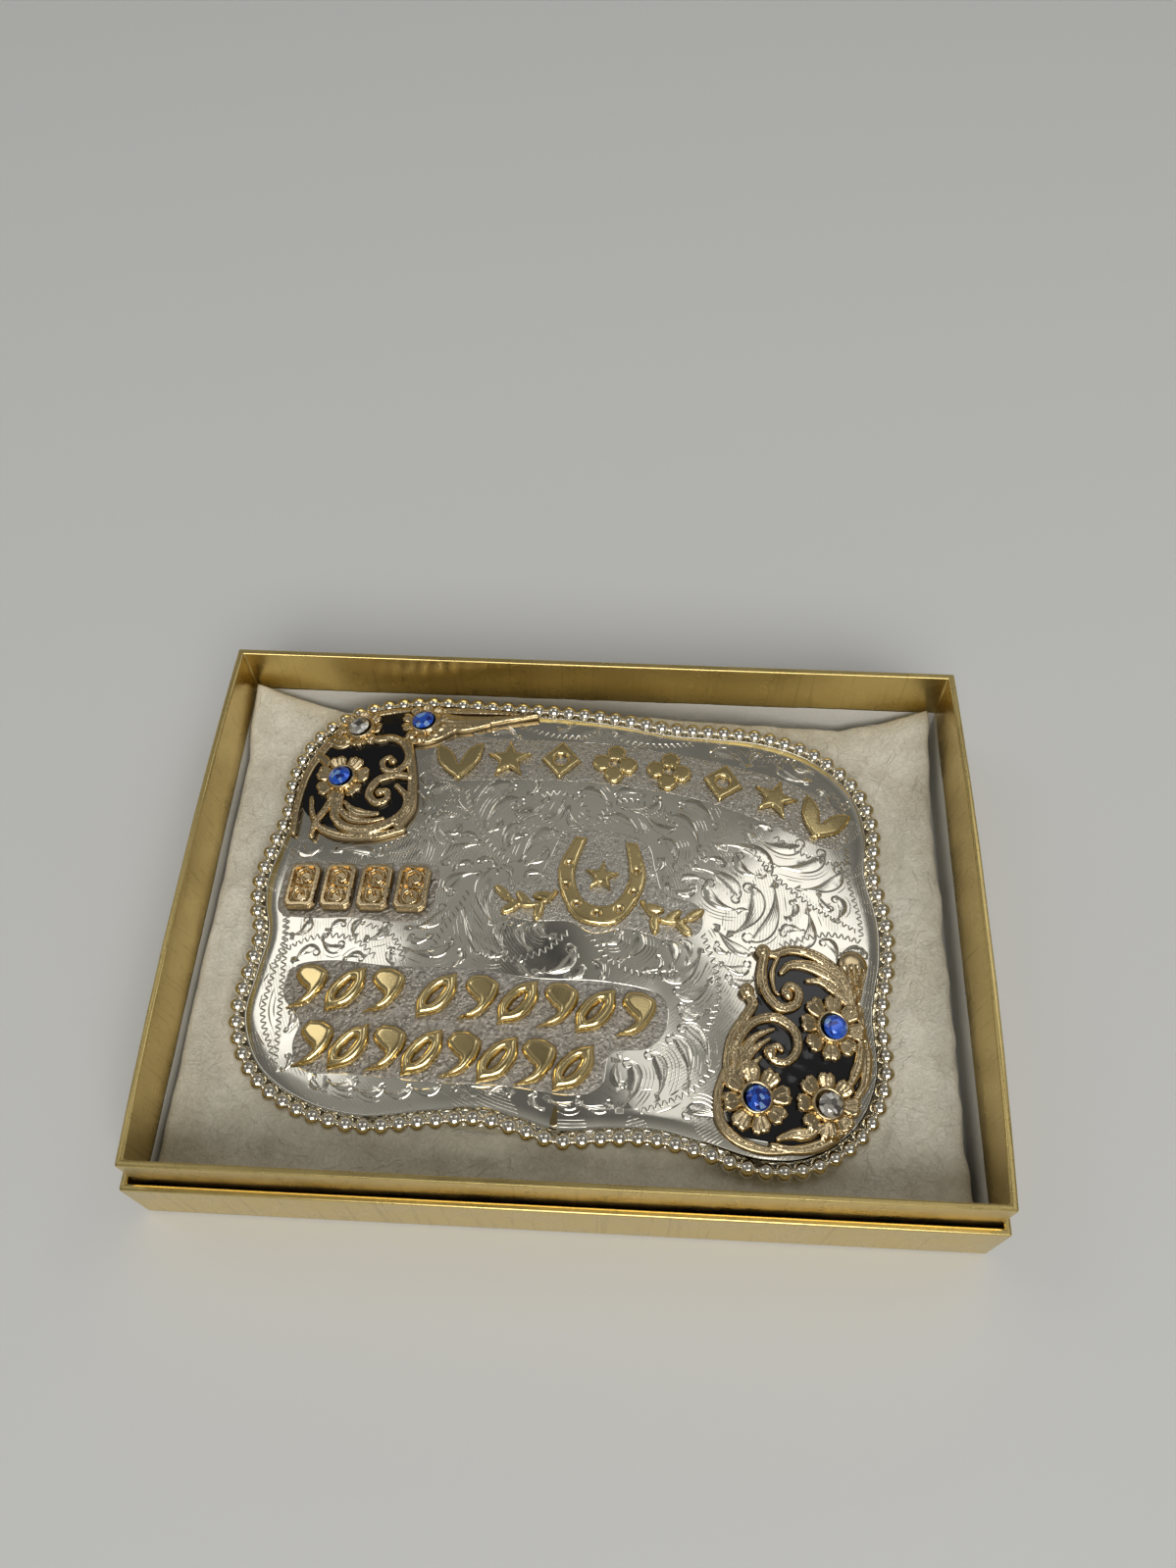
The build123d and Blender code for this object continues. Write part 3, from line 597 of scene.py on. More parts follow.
def leaf(x, y, heading, length, bend, width, lines=3, least=0.9):
    """Leaf with a swelling body, a curled tip and shade lines, if there is room for it."""
    spine = bent_line(x, y, heading, length * 1.12, bend * 1.15)
    n = len(spine)
    if taken[cells(spine[n // 2:n // 2 + 1])].any():
        return False
    swell = np.sin(np.pi * np.linspace(0, 1, n) ** 1.9) * 0.74 + 0.02
    side = 1 if bend >= 0 else -1
    across = left_of(spine) * (width * swell)[:, None] * side
    last = math.degrees(math.atan2(*(spine[-1] - spine[-2])[::-1]))
    curl = bent_line(*spine[-1], last, width * 2.5, 290 * side, 0.9, 0.32)
    body = np.vstack([spine[2:], (spine - across)[2:], (spine + across * 0.8)[2:], curl])
    if (~taken[cells(body)]).mean() < least or off_limits[cells(body)].any():
        return False
    cut(spine - across, 0.36, 0.45, 0.10)
    cut((spine + across * 0.8)[: int(n * 0.9)], 0.26, 0.4, 0.25)
    cut(curl, 0.46, 0.1, 0.6)
    for k in range(lines):
        first, past = int(n * (0.12 + 0.06 * k)), int(n * (0.80 - 0.08 * k))
        if past - first > 3:
            cut((spine + across * (0.6 - 1.35 * (k + 0.5) / lines))[first:past], 0.17, 0.4, 0.5)
    leaves.append((spine, np.maximum(width * swell, 0.15), spine - across, -left_of(spine) * side))
    claim(body, 0.45)
    claim(spine, width * 0.8)
    return True


def vine(points, gap, length, width, sides, lean, bend, hand=1):
    """Roped stem with leaves that branch from it, on one side or on both in turn."""
    line = rope(points)
    if len(line) < 5:
        return
    run = run_of(line)
    left = left_of(line)
    for k, at in enumerate(np.arange(gap * 0.45, run[-1], gap / len(sides))):
        side = sides[k % len(sides)] * hand
        i = min(int(np.searchsorted(run, at)), len(line) - 1)
        ahead = math.degrees(math.atan2(-left[i][0], left[i][1]))
        for size in (1.5 - 0.12 * (k % 3), 1.15, 0.9, 0.68):
            if leaf(*(line[i] + left[i] * side * 0.9), ahead + side * lean, length * size,
                    side * bend, width * (0.7 + 0.3 * size), 4, 0.86):
                break


# Places, gap between leaves, leaf length, leaf width, sides (1 left, -1 right), lean, bend.
LEFT_VINES = [
    ([(-50.2, -16.0), (-46.6, -11.4), (-41.0, -9.4), (-35.6, -10.0), (-30.6, -13.4)],
     5.2, 5.0, 1.2, (1,), 46, 60),
    ([(-34.0, -7.0), (-29.2, -8.8), (-26.0, -13.6)], 5.4, 5.6, 1.2, (1,), 44, 60),
]
VINES = [
    ([(2.9, 14.6), (3.8, 18.6), (6.4, 21.3), (9.8, 21.9), (13.0, 20.8)], 5.2, 5.6, 1.25, (-1,),
     48, -95),
    ([(15.6, 6.6), (19.2, 9.2), (22.4, 12.8), (24.8, 17.0), (26.4, 21.6)], 6.2, 6.8, 1.3, (1, -1),
     46, 70),
    ([(28.6, 21.6), (30.2, 16.8), (33.8, 12.2), (38.4, 8.4), (43.6, 5.4), (50.2, 3.0)],
     7.0, 8.2, 1.5, (1, -1), 40, 62),
    ([(51.0, 1.2), (45.4, 1.4), (40.2, -0.6), (36.4, -2.8), (33.0, -6.2)], 6.4, 6.0, 1.2, (-1,),
     44, -60),
    ([(22.4, 0.4), (24.2, -4.0), (26.4, -9.0), (27.0, -14.5), (25.4, -20.0)],
     6.0, 7.4, 1.4, (-1, 1), 40, 65),
    ([(35.0, 18.8), (39.6, 16.4), (45.4, 15.4), (51.0, 17.0)], 5.6, 5.6, 1.2, (1,), 50, 60),
    ([(10.6, -34.9), (14.0, -34.4), (18.6, -32.6), (24.2, -29.2), (27.4, -25.0)],
     5.6, 6.6, 1.3, (1,), 44, 70),
    ([(32.0, 34.8), (37.0, 36.2), (42.4, 35.4), (46.6, 31.6), (49.4, 25.8)], 5.6, 6.4, 1.3, (-1,),
     40, -70),
    ([(3.6, 37.6), (5.4, 35.4), (9.6, 34.8), (14.0, 35.2), (19.4, 36.6)], 6.0, 5.6, 1.1, (1,),
     30, 50),
    ([(4.2, -5.4), (8.4, -9.6), (14.2, -11.4), (20.4, -10.2)], 4.8, 5.6, 1.2, (1,), 52, 80),
]
# Root x, y, heading, length, bend, width.
LEAVES = [
    (27.4, 3.4, 4, 12.5, 22, 1.7), (26.6, 5.6, 36, 12.0, -52, 1.7), (25.6, 7.2, 62, 9.0, -60, 1.5),
    (27.2, 1.2, -26, 10.0, 44, 1.5), (25.4, -0.6, -52, 7.6, 50, 1.3),
    (17.4, 22.8, 176, 7.6, 66, 1.4),
    (25.0, 22.0, 200, 8.6, -46, 1.5), (9.4, 13.6, 62, 5.4, -105, 1.2),
    (12.8, 15.4, -20, 5.6, -80, 1.2),
    (16.6, 12.6, 100, 6.0, 70, 1.2), (20.6, 5.4, 74, 6.0, -40, 1.1),
    (17.6, -13.4, -10, 7.8, 60, 1.4),
    (18.6, -18.2, -20, 8.0, 62, 1.5), (18.8, -23.6, -34, 7.4, 60, 1.4),
    (11.6, -26.0, -60, 7.0, 60, 1.3),
]
LEFT_LEAVES = [
    (-50.6, 6.8, 6, 7.0, 40, 1.1), (-43.6, 7.2, 10, 7.4, -30, 1.1), (-35.6, 6.8, 6, 7.6, 40, 1.2),
    (-42.0, -35.4, -6, 7.6, 46, 1.2), (-34.0, -36.0, 2, 8.0, 50, 1.2),
    (-25.6, -35.6, 4, 8.0, 46, 1.2),
]
# Centre x, y, inner radius, outer radius, from, to, count.
FANS = [
    (7.6, 15.2, 2.4, 5.6, 70, 205, 5), (41.0, 27.0, 6.0, 10.6, -30, 70, 7),
    (15.6, -23.6, 3.2, 10.4, 188, 320, 9), (31.4, 43.0, 5.2, 9.2, 205, 318, 6),
]
LEFT_FANS = [(-40.6, -21.4, 3.4, 12.0, 110, 255, 11), (-31.0, -31.0, 3.8, 7.4, 196, 285, 5)]

rim_line = bead_path - left_of(bead_path) * RIM_INSET
for side, low, high in ((-1, -31, 8), (1, 1, 31)):
    level = rim_line[:, 1]
    rope(rim_line[(rim_line[:, 0] * side > 40) & (level > low) & (level < high)][::4])
for x in np.arange(-40, 8, 4.6):
    foot = rim_line[np.abs(rim_line[:, 0] - x - 100 * (rim_line[:, 1] > 0)).argmin()]
    leaf(foot[0], foot[1] + 0.9, -24, 5.0, 58, 0.95, 3, 0.8)
for row in LEFT_VINES:
    vine(*row)
for row in LEFT_LEAVES:
    leaf(*row)
for row in VINES:
    vine(*row)
for row in LEAVES:
    leaf(*row)
for points, *rest in VINES:
    points = [(2 * MIDDLE - x, y) for x, y in points]
    if taken[cells(smooth_line(points))].mean() < 0.6:
        vine(points, *rest, hand=-1)
for x, y, heading, length, bend, width in LEAVES:
    leaf(2 * MIDDLE - x, y, 180 - heading, length, -bend, width)
random = np.random.default_rng(7)
for length, width in ((12.0, 1.8), (9.6, 1.6), (8.0, 1.45), (6.6, 1.3), (5.0, 1.1), (3.6, 0.8)):
    for y in np.arange(-37, 38, length * 0.42):
        for x in np.arange(-53, 54, length * 0.42):
            root = (x + random.uniform(-1, 1), y + random.uniform(-1, 1))
            for heading in random.uniform(0, 360, 5):
                bend = random.choice((-1, 1)) * random.uniform(45, 95)
                size = random.uniform(0.85, 1.1)
                if leaf(*root, heading, length * size, bend, width, 4 if length > 4 else 1, 0.97):
                    break
for spine, swell, outer, away in leaves:
    for step in (0.75, 1.35, 1.95, 2.55):
        for part in free_parts(outer + away * step, taken, 4):
            cut(part, 0.18)
            claim(part, 0.28)
mirrored = [(2 * MIDDLE - x, y, a, b, 180 - e, 180 - s, n) for x, y, a, b, s, e, n in FANS]
for x, y, inner, outer, start, end, count in LEFT_FANS + FANS + mirrored:
    for radius in np.linspace(inner, outer, count):
        angle = np.radians(np.arange(start, end, math.degrees(0.5 / radius)))
        line = np.c_[x + radius * np.cos(angle), y + radius * np.sin(angle)]
        for part in free_parts(line, taken):
            cut(part, 0.28)


def dome(x, y):
    """Height of the plate's face over a place of its plan."""
    return CROWN - x * x / (2 * LENGTH_RADIUS) - y * y / (2 * WIDTH_RADIUS)


def to_room(points):
    """From the buckle's plan in millimetres to the row frame in metres."""
    x, y, z = np.asarray(points, float).T
    return np.c_[x * TURN_COS - y * TURN_SIN + BUCKLE_SHIFT[0],
                 x * TURN_SIN + y * TURN_COS + BUCKLE_SHIFT[1], z] / 1000


def near(line, x, y, reach):
    """Points that lie in the box round a line."""
    low, high = line.min(0) - reach, line.max(0) + reach
    return np.flatnonzero((x > low[0]) & (x < high[0]) & (y > low[1]) & (y < high[1]))


def plate_face(x, y):
    """Face of the plate before it is engraved: domed, rolled at its edge, full in the leaves."""
    rim = np.clip(1 - reach_of(plate_edge[::2], x, y) / EDGE_ROLL, 0, 1)
    height = dome(x, y) - EDGE_DROP * rim ** 2
    for spine, swell, outer, away in leaves:
        spot = near(spine, x, y, 2.0)
        far = np.hypot(x[spot, None] - spine[:, 0], y[spot, None] - spine[:, 1])
        share = (far / swell).min(1)
        height[spot] += LEAF_SWELL * np.clip(1 - share ** 2, 0, 1) ** 1.5
    return height


def cut_depth(x, y):
    """How deep the graver went at each point."""
    depth = np.zeros(len(x))
    for line, half in cuts:
        spot = near(line, x, y, 0.3)
        if not len(spot):
            continue
        a, b = line[:-1], line[1:]
        along = b - a
        px, py = x[spot, None] - a[:, 0], y[spot, None] - a[:, 1]
        share = np.clip((px * along[:, 0] + py * along[:, 1]) / (along ** 2).sum(1), 0, 1)
        far = np.hypot(px - share * along[:, 0], py - share * along[:, 1])
        wide = half[:-1] + share * (half[1:] - half[:-1])
        sunk = (np.clip(wide - far, 0, None) * 2 * CUT_DEPTH).max(1)
        depth[spot] = np.maximum(depth[spot], sunk)
    return depth


def triangulated(points, edges, merge):
    """Triangles between points, along edges: corners, faces, where each given point went."""
    found = delaunay_2d_cdt([Vector(p) for p in points], edges, [], 0, merge, True)
    return np.array([tuple(p) for p in found[0]]), np.array(found[2]), found[3]


def plate_mesh():
    """The plate as one closed mesh, its cuts triangulated into its face."""
    places, edges = [], []

    def add_line(line, closed=False):
        first = len(places)
        places.extend(map(tuple, line))
        edges.extend((first + k, first + k + 1) for k in range(len(line) - 1))
        if closed:
            edges.append((first + len(line) - 1, first))

    add_line(plate_edge, True)
    for inset in (0.35, 0.8, 1.4, 2.1, 2.9):
        add_line((plate_edge - left_of(plate_edge) * inset)[::1 if inset < 1 else 2], True)
    for ground in grounds:
        add_line(ground, True)
    for line, half in cuts:
        left = left_of(line) * half[:, None]
        if half[0] < 0.01:
            add_line(np.vstack([line[:1], (line + left)[1:-1], line[-1:]]))
            add_line(np.vstack([line[:1], (line - left)[1:-1], line[-1:]]))
        else:
            add_line(line + left)
            add_line(line - left)
        add_line(line)
    x, y = np.meshgrid(np.arange(-56, 57, 0.95), np.arange(-41, 42, 0.95))
    x = (x + random.uniform(-0.2, 0.2, x.shape)).ravel()
    y = (y + random.uniform(-0.2, 0.2, y.shape)).ravel()
    keep = inside(plate_edge, x, y) & (reach_of(plate_edge[::2], x, y) > 3.2)
    places.extend(zip(x[keep], y[keep]))
    flat, faces, merged = triangulated(places, edges, 0.004)
    faces = faces[inside(plate_edge, *flat[faces].mean(1).T)]
    centre = flat[faces].mean(1)
    x, y = flat.T
    depth = cut_depth(x, y)
    base = plate_face(x, y)
    nudge = 0.04
    tilt = np.stack([(plate_face(x + nudge, y) - base) / -nudge,
                     (plate_face(x, y + nudge) - base) / -nudge, np.ones(len(x))], 1)
    tilt /= np.linalg.norm(tilt, axis=1)[:, None]
    top = np.c_[x, y, base - depth]
    count, n = len(top), len(plate_edge)
    ring = {k: out for out, given in enumerate(merged) for k in given if k < n}
    back = [Vector(p) for p in plate_edge]
    back += [Vector((a, b)) for a in range(-48, 49, 6) for b in range(-30, 31, 6)]
    under = delaunay_2d_cdt(back, [], [list(range(n))], 1, 0.001, False)
    low = np.array([tuple(p) for p in under[0]])
    low = np.c_[low, dome(*low.T) - PLATE_THICKNESS]
    walls = [(ring[k], count + k, ring[(k + 1) % n]) for k in range(n)]
    walls += [(ring[(k + 1) % n], count + k, count + (k + 1) % n) for k in range(n)]
    bottom = [tuple(count + k for k in reversed(f)) for f in under[2]]
    all_faces = [tuple(f) for f in faces] + walls + bottom
    piece = mesh_piece("engraved_plate", to_room(np.vstack([top, low])), all_faces, silver)
    mesh = piece.data
    carved = cut_depth(*centre.T) > 0.004
    a, b, c = top[faces.T]
    across = np.cross(b - a, c - a)
    across /= np.linalg.norm(across, axis=1)[:, None] + 1e-12
    corner = np.where(carved[:, None, None], across[:, None, :], tilt[faces])
    spin = np.array([[TURN_COS, TURN_SIN, 0], [-TURN_SIN, TURN_COS, 0], [0, 0, 1]])
    given = np.zeros((len(mesh.loops), 3))
    given[:len(faces) * 3] = corner.reshape(-1, 3) @ spin
    mesh.normals_split_custom_set([tuple(v) for v in given])
    mark = mesh.attributes.new("graver", "FLOAT", "POINT")
    mark.data.foreach_set("value", np.r_[np.clip(depth / FULL_GRAVER, 0, 1), np.zeros(len(low))])
    matte = np.zeros(len(centre))
    for ground, strength in zip(grounds, STIPPLE_STRENGTHS):
        matte = np.maximum(matte, strength * inside(ground, *centre.T))
    mark = mesh.attributes.new("stipple", "FLOAT", "CORNER")
    mark.data.foreach_set("value", np.r_[np.repeat(matte, 3),
                                         np.zeros(len(mesh.loops) - 3 * len(faces))])
    return piece


silver, base, spot, shader = material("nickel_silver")
graver = base.node("ShaderNodeAttribute", {"attribute_name": "graver"}, out=2)
stipple = base.node("ShaderNodeAttribute", {"attribute_name": "stipple"}, out=2)
smear = noise(base, spot, 90, 4, 0.6)
dots = base.node("ShaderNodeTexVoronoi", None, {"Vector": spot, "Scale": 2100.0})
waves = noise(base, spot, 55, 2, 0.4)
fleck = noise(base, spot, 1300, 4, 0.65).between(0.36, 0.6)
bright = smear.mixed((0.79, 0.755, 0.65), (0.89, 0.855, 0.755))
bright = (stipple * 0.85).mixed(bright, fleck.mixed((0.30, 0.275, 0.25), (0.60, 0.565, 0.52)))
bright = (graver * 0.4).mixed(bright, (0.26, 0.235, 0.185))
rings = base.node("ShaderNodeTexWave", {"wave_type": "RINGS", "rings_direction": "Z"}, {
    "Vector": spot, "Scale": 620.0, "Distortion": 5.0, "Detail": 1.0, "Detail Scale": 0.06})
patches = noise(base, spot, 130, 1).between(0.5, 0.56)
hairlines = rings.between(0.72, 0.9) * (1 - stipple) * patches
punched = (dots + fleck) * stipple
paint(shader, colour=bright, metal=1.0,
      rough=smear.between(0.35, 0.75) * 0.07 + 0.10 + stipple * 0.22,
      normal=bump(base, punched, 0.00016, 0.8,
                  bump(base, waves, 0.00022, 0.35, bump(base, hairlines, 0.00005, 0.5))))
plate = plate_mesh()
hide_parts("face_plate")
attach(plate, "root")


# The bead edge: a string of round beads drawn from nickel silver wire, bent to the outline
# and soldered to the plate's rim all round.

BEAD_RADIUS = 1.5
BEAD_COUNT = 118
BEAD_DROP = 0.75
RAIL_RADIUS = 0.6

tree = bpy.data.node_groups.new("string_of_beads", "GeometryNodeTree")
tree.interface.new_socket("Path", in_out="INPUT", socket_type="NodeSocketGeometry")
tree.interface.new_socket("Result", in_out="OUTPUT", socket_type="NodeSocketGeometry")
sizes = {}
for label, kind in (("Bead radius", "NodeSocketFloat"), ("Rail radius", "NodeSocketFloat"),
                    ("Beads", "NodeSocketInt"), ("Finish", "NodeSocketMaterial")):
    sizes[label] = tree.interface.new_socket(label, in_out="INPUT", socket_type=kind).identifier


def step(kind, values=None, **settings):
    """A node of the string's tree."""
    made = tree.nodes.new(kind)
    for name, value in settings.items():
        setattr(made, name, value)
    for name, value in (values or {}).items():
        if isinstance(value, bpy.types.NodeSocket):
            tree.links.new(value, made.inputs[name])
        else:
            made.inputs[name].default_value = value
    return made


given = step("NodeGroupInput").outputs
path = step("GeometryNodeMeshToCurve", {"Mesh": given["Path"]}).outputs[0]
places = step("GeometryNodeResampleCurve", {"Curve": path, "Count": given["Beads"]}).outputs[0]
ball = step("GeometryNodeMeshUVSphere", {
    "Segments": 26, "Rings": 16, "Radius": given["Bead radius"]}).outputs[0]
beads = step("GeometryNodeInstanceOnPoints", {"Points": places, "Instance": ball}).outputs[0]
ring = step("GeometryNodeCurvePrimitiveCircle", {
    "Resolution": 12, "Radius": given["Rail radius"]}).outputs[0]
rail = step("GeometryNodeCurveToMesh", {"Curve": path, "Profile Curve": ring}).outputs[0]
both = step("GeometryNodeJoinGeometry")
tree.links.new(rail, both.inputs[0])
tree.links.new(step("GeometryNodeRealizeInstances", {"Geometry": beads}).outputs[0], both.inputs[0])
smooth = step("GeometryNodeSetShadeSmooth", {"Geometry": both.outputs[0]}).outputs[0]
finished = step("GeometryNodeSetMaterial", {
    "Geometry": smooth, "Material": given["Finish"]}).outputs[0]
step("NodeGroupOutput", {"Result": finished})

ring_points = smooth_line(BEAD_LINE, 0.6, closed=True)[:-1]
ring_points = to_room(np.c_[ring_points, dome(*ring_points.T) - BEAD_DROP])
n = len(ring_points)
line = bpy.data.meshes.new("bead_path")
line.from_pydata([tuple(p) for p in ring_points], [(k, (k + 1) % n) for k in range(n)], [])
guide = bpy.data.objects.new("bead_path", line)
bpy.context.scene.collection.objects.link(guide)
stringing = guide.modifiers.new("string", "NODES")
stringing.node_group = tree
stringing[sizes["Bead radius"]] = BEAD_RADIUS / 1000
stringing[sizes["Rail radius"]] = RAIL_RADIUS / 1000
stringing[sizes["Beads"]] = BEAD_COUNT
bead_silver, base, spot, shader = material("bead_silver")
wear = noise(base, spot, 500, 3)
# Both colours are warm: the silver's own tone, with a painted reflection of the gold foil box round
# it.
paint(shader, colour=wear.mixed((0.76, 0.71, 0.60), (0.88, 0.835, 0.73)), metal=1.0,
      rough=wear.between(0.35, 0.75) * 0.06 + 0.06,
      normal=bump(base, noise(base, spot, 1100, 3), 0.00002, 0.3))
stringing[sizes["Finish"]] = bead_silver
bpy.context.view_layer.update()
strung = guide.evaluated_get(bpy.context.evaluated_depsgraph_get())
made = bpy.data.meshes.new_from_object(strung)
bpy.data.objects.remove(guide)
string = bpy.data.objects.new("beaded_wire", made)
bpy.context.scene.collection.objects.link(string)
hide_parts("bead_edge")
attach(string, "root")


# The belt loop and the belt hook: a bent bar and a stud of nickel silver, soldered to the
# plate's back, where the belt's two ends are held. They are hidden, so they stay plain.

for name in ("belt_loop", "belt_hook"):
    dress(name, silver)


# The corner overlays: cast in yellow bronze and gilded, then filed, chased with grooves and
# soldered on. Scrolls, leaves and flowers stand on a pierced ground that holds the enamel.

SEAT_GAP = 0.12
FLOOR = 0.5
BAND_FOOT = 0.55
BELOW = -9.0
STONE_RADIUS = 2.05
# Where the grooves of a band lie, from its middle to its edges, by how many there are.
GROOVES = {0: (), 1: (0.0,), 2: (-0.36, 0.36), 4: (-0.66, -0.22, 0.22, 0.66)}
# Bands: places along the middle, widths at start, middle and end, height, grooves.
LEFT_BANDS = [
    ([(-52.2, 10.6), (-52.9, 17.0), (-52.5, 24.5), (-49.8, 31.2), (-45.6, 36.4), (-39.0, 38.6),
      (-33.0, 39.0)],
     (1.3, 1.9, 1.2), 1.15, 1),
    ([(-40.6, 31.2), (-37.6, 31.7), (-34.8, 30.0), (-33.5, 26.6), (-35.0, 24.0), (-37.3, 24.0),
      (-38.3, 25.8),
      (-37.2, 27.0), (-36.2, 26.1)], (1.9, 1.7, 1.2), 1.75, 2),
    ([(-34.2, 30.4), (-32.8, 26.0), (-31.6, 21.0), (-31.0, 16.0), (-32.4, 12.6)], (1.6, 1.9, 2.2),
     1.45, 2),
    ([(-32.6, 22.8), (-35.4, 22.9), (-38.3, 21.7), (-39.3, 18.8), (-37.6, 16.8), (-35.7, 17.6),
      (-36.0, 19.3),
      (-37.2, 19.1)], (1.7, 1.9, 1.3), 1.8, 2),
    ([(-34.4, 20.6), (-32.2, 18.4), (-31.9, 15.4), (-34.2, 12.6), (-38.2, 11.0), (-42.4, 11.6),
      (-45.0, 14.2),
      (-45.8, 18.6)], (1.2, 2.3, 1.5), 1.75, 2),
    ([(-44.4, 18.6), (-44.2, 15.6), (-41.6, 13.4), (-38.4, 12.9), (-35.4, 13.5)], (0.9, 1.9, 0.8),
     1.5, 1),
    ([(-43.6, 17.0), (-41.9, 15.4), (-39.6, 14.6), (-36.8, 14.6)], (0.8, 2.2, 1.0), 1.35, 1),
    ([(-46.2, 19.0), (-47.0, 15.4), (-48.2, 12.4), (-48.4, 9.8)], (1.3, 1.7, 1.0), 1.6, 1),
    ([(-50.4, 18.0), (-49.4, 14.6), (-47.2, 11.6), (-42.4, 9.8), (-36.4, 10.0), (-31.4, 11.6)],
     (1.0, 1.8, 1.2), 1.2, 1),
    ([(-51.4, 27.6), (-49.8, 26.4), (-49.2, 24.4)], (2.0, 2.0, 0.8), 1.2, 0),
    ([(-49.6, 31.4), (-47.6, 30.4), (-45.6, 30.8)], (2.6, 2.6, 1.0), 1.2, 1),
    ([(-43.2, 31.0), (-41.4, 31.4), (-39.6, 31.6)], (1.6, 2.2, 1.4), 1.3, 0),
    ([(-36.8, 31.6), (-32.6, 31.4), (-29.2, 32.4), (-26.4, 34.4)], (1.4, 1.8, 1.4), 1.25, 1),
    ([(-30.0, 36.6), (-25.6, 36.2), (-20.8, 36.6), (-15.8, 37.6), (-10.8, 38.7)], (3.8, 2.2, 0.6),
     1.5, 2),
    ([(-34.0, 38.6), (-28.0, 38.9), (-21.6, 39.0), (-14.6, 38.8)], (1.3, 1.5, 0.7), 1.1, 1),
    ([(-30.4, 33.4), (-27.6, 34.6), (-23.4, 34.9), (-19.6, 35.9)], (1.8, 1.9, 0.7), 1.35, 1),
]
RIGHT_BANDS = [
    ([(49.7, -10.9), (48.7, -7.6), (46.2, -5.1), (42.4, -3.4), (38.6, -3.3), (35.8, -4.6),
      (34.2, -4.5)],
     (1.2, 2.1, 1.5), 1.6, 2),
    ([(34.3, -4.9), (34.0, -8.4), (34.8, -11.6), (37.3, -13.8), (39.9, -12.8), (40.3, -10.6),
      (38.8, -9.7),
      (37.9, -10.9), (38.7, -11.8)], (1.7, 2.0, 1.3), 1.8, 2),
    ([(49.2, -11.0), (47.4, -8.0), (44.6, -6.2), (41.4, -5.6), (38.6, -6.1), (37.3, -7.6)],
     (1.0, 2.6, 1.2), 1.55, 2),
    ([(48.6, -11.2), (46.4, -9.2), (44.2, -8.0), (41.7, -8.3)], (1.0, 2.0, 0.9), 1.45, 1),
    ([(36.6, -4.9), (35.7, -7.8), (36.2, -10.8), (37.0, -11.6)], (0.8, 1.2, 0.6), 1.4, 0),
    ([(49.6, -3.9), (49.9, -6.6), (50.0, -9.0), (50.1, -11.6)], (5.2, 2.9, 1.2), 1.6, 4),
    ([(31.7, -11.9), (32.8, -13.8), (31.6, -16.4), (29.9, -20.0), (29.3, -24.2), (29.9, -26.8)],
     (1.7, 1.9, 1.2), 1.55, 2),
    ([(30.4, -25.4), (30.9, -20.4), (33.2, -16.9), (36.8, -15.7), (39.9, -17.4), (40.5, -20.4),
      (38.9, -22.7),
      (36.7, -22.7), (36.0, -21.3), (37.2, -20.3), (37.9, -20.9)], (1.2, 2.0, 1.2), 1.8, 2),
    ([(30.8, -25.8), (31.8, -22.0), (33.6, -19.3), (36.4, -17.7)], (1.2, 1.8, 0.7), 1.55, 1),
    ([(31.2, -26.2), (32.4, -23.0), (34.0, -20.9), (35.8, -19.4)], (1.2, 1.7, 0.7), 1.45, 1),
    ([(31.4, -26.6), (32.8, -24.6), (34.6, -22.6)], (1.0, 1.7, 0.7), 1.4, 1),
    ([(29.0, -25.6), (28.2, -29.4), (28.8, -33.4), (31.6, -36.0), (36.0, -37.0), (40.4, -36.4)],
     (1.3, 1.9, 1.2), 1.0, 1),
    ([(51.0, -11.4), (51.4, -15.4), (52.3, -19.6), (52.0, -23.8), (50.2, -27.2)], (1.0, 2.2, 1.2),
     1.3, 1),
    ([(51.2, -17.4), (50.9, -20.8), (49.8, -24.0), (49.0, -26.0)], (1.4, 2.0, 1.0), 1.45, 1),
    ([(37.4, -36.0), (40.8, -36.2), (44.2, -35.2), (47.4, -33.2), (49.8, -30.0)], (1.0, 2.0, 1.4),
     1.1, 1),
    ([(38.2, -35.0), (40.6, -33.9), (43.4, -33.4), (45.0, -31.9)], (1.0, 2.4, 1.0), 1.45, 1),
]
# Round ends: centre and radius.
LEFT_BALLS = [(-37.3, 19.1, 0.95), (-36.3, 26.1, 0.85)]
RIGHT_BALLS = [(34.0, -4.4, 1.25), (31.7, -11.8, 1.2), (36.1, -21.6, 1.15), (38.5, -11.4, 0.95)]
# Flowers: centre, radius, petals, turn in degrees.
LEFT_FLOWERS = [((-45.5, 22.3), 5.2, 7, 10), ((-44.6, 34.0), 4.3, 8, 0),
                ((-32.2, 35.6), 4.5, 10, 20)]
RIGHT_FLOWERS = [((46.3, -15.6), 5.5, 8, 0), ((34.3, -29.3), 5.6, 8, 15),
                 ((46.0, -28.4), 5.3, 8, 5)]


def round_loop(x, y, radius, count=28):
    """Points round a circle."""
    angle = np.linspace(0, math.tau, count, endpoint=False)
    return np.c_[x + radius * np.cos(angle), y + radius * np.sin(angle)]


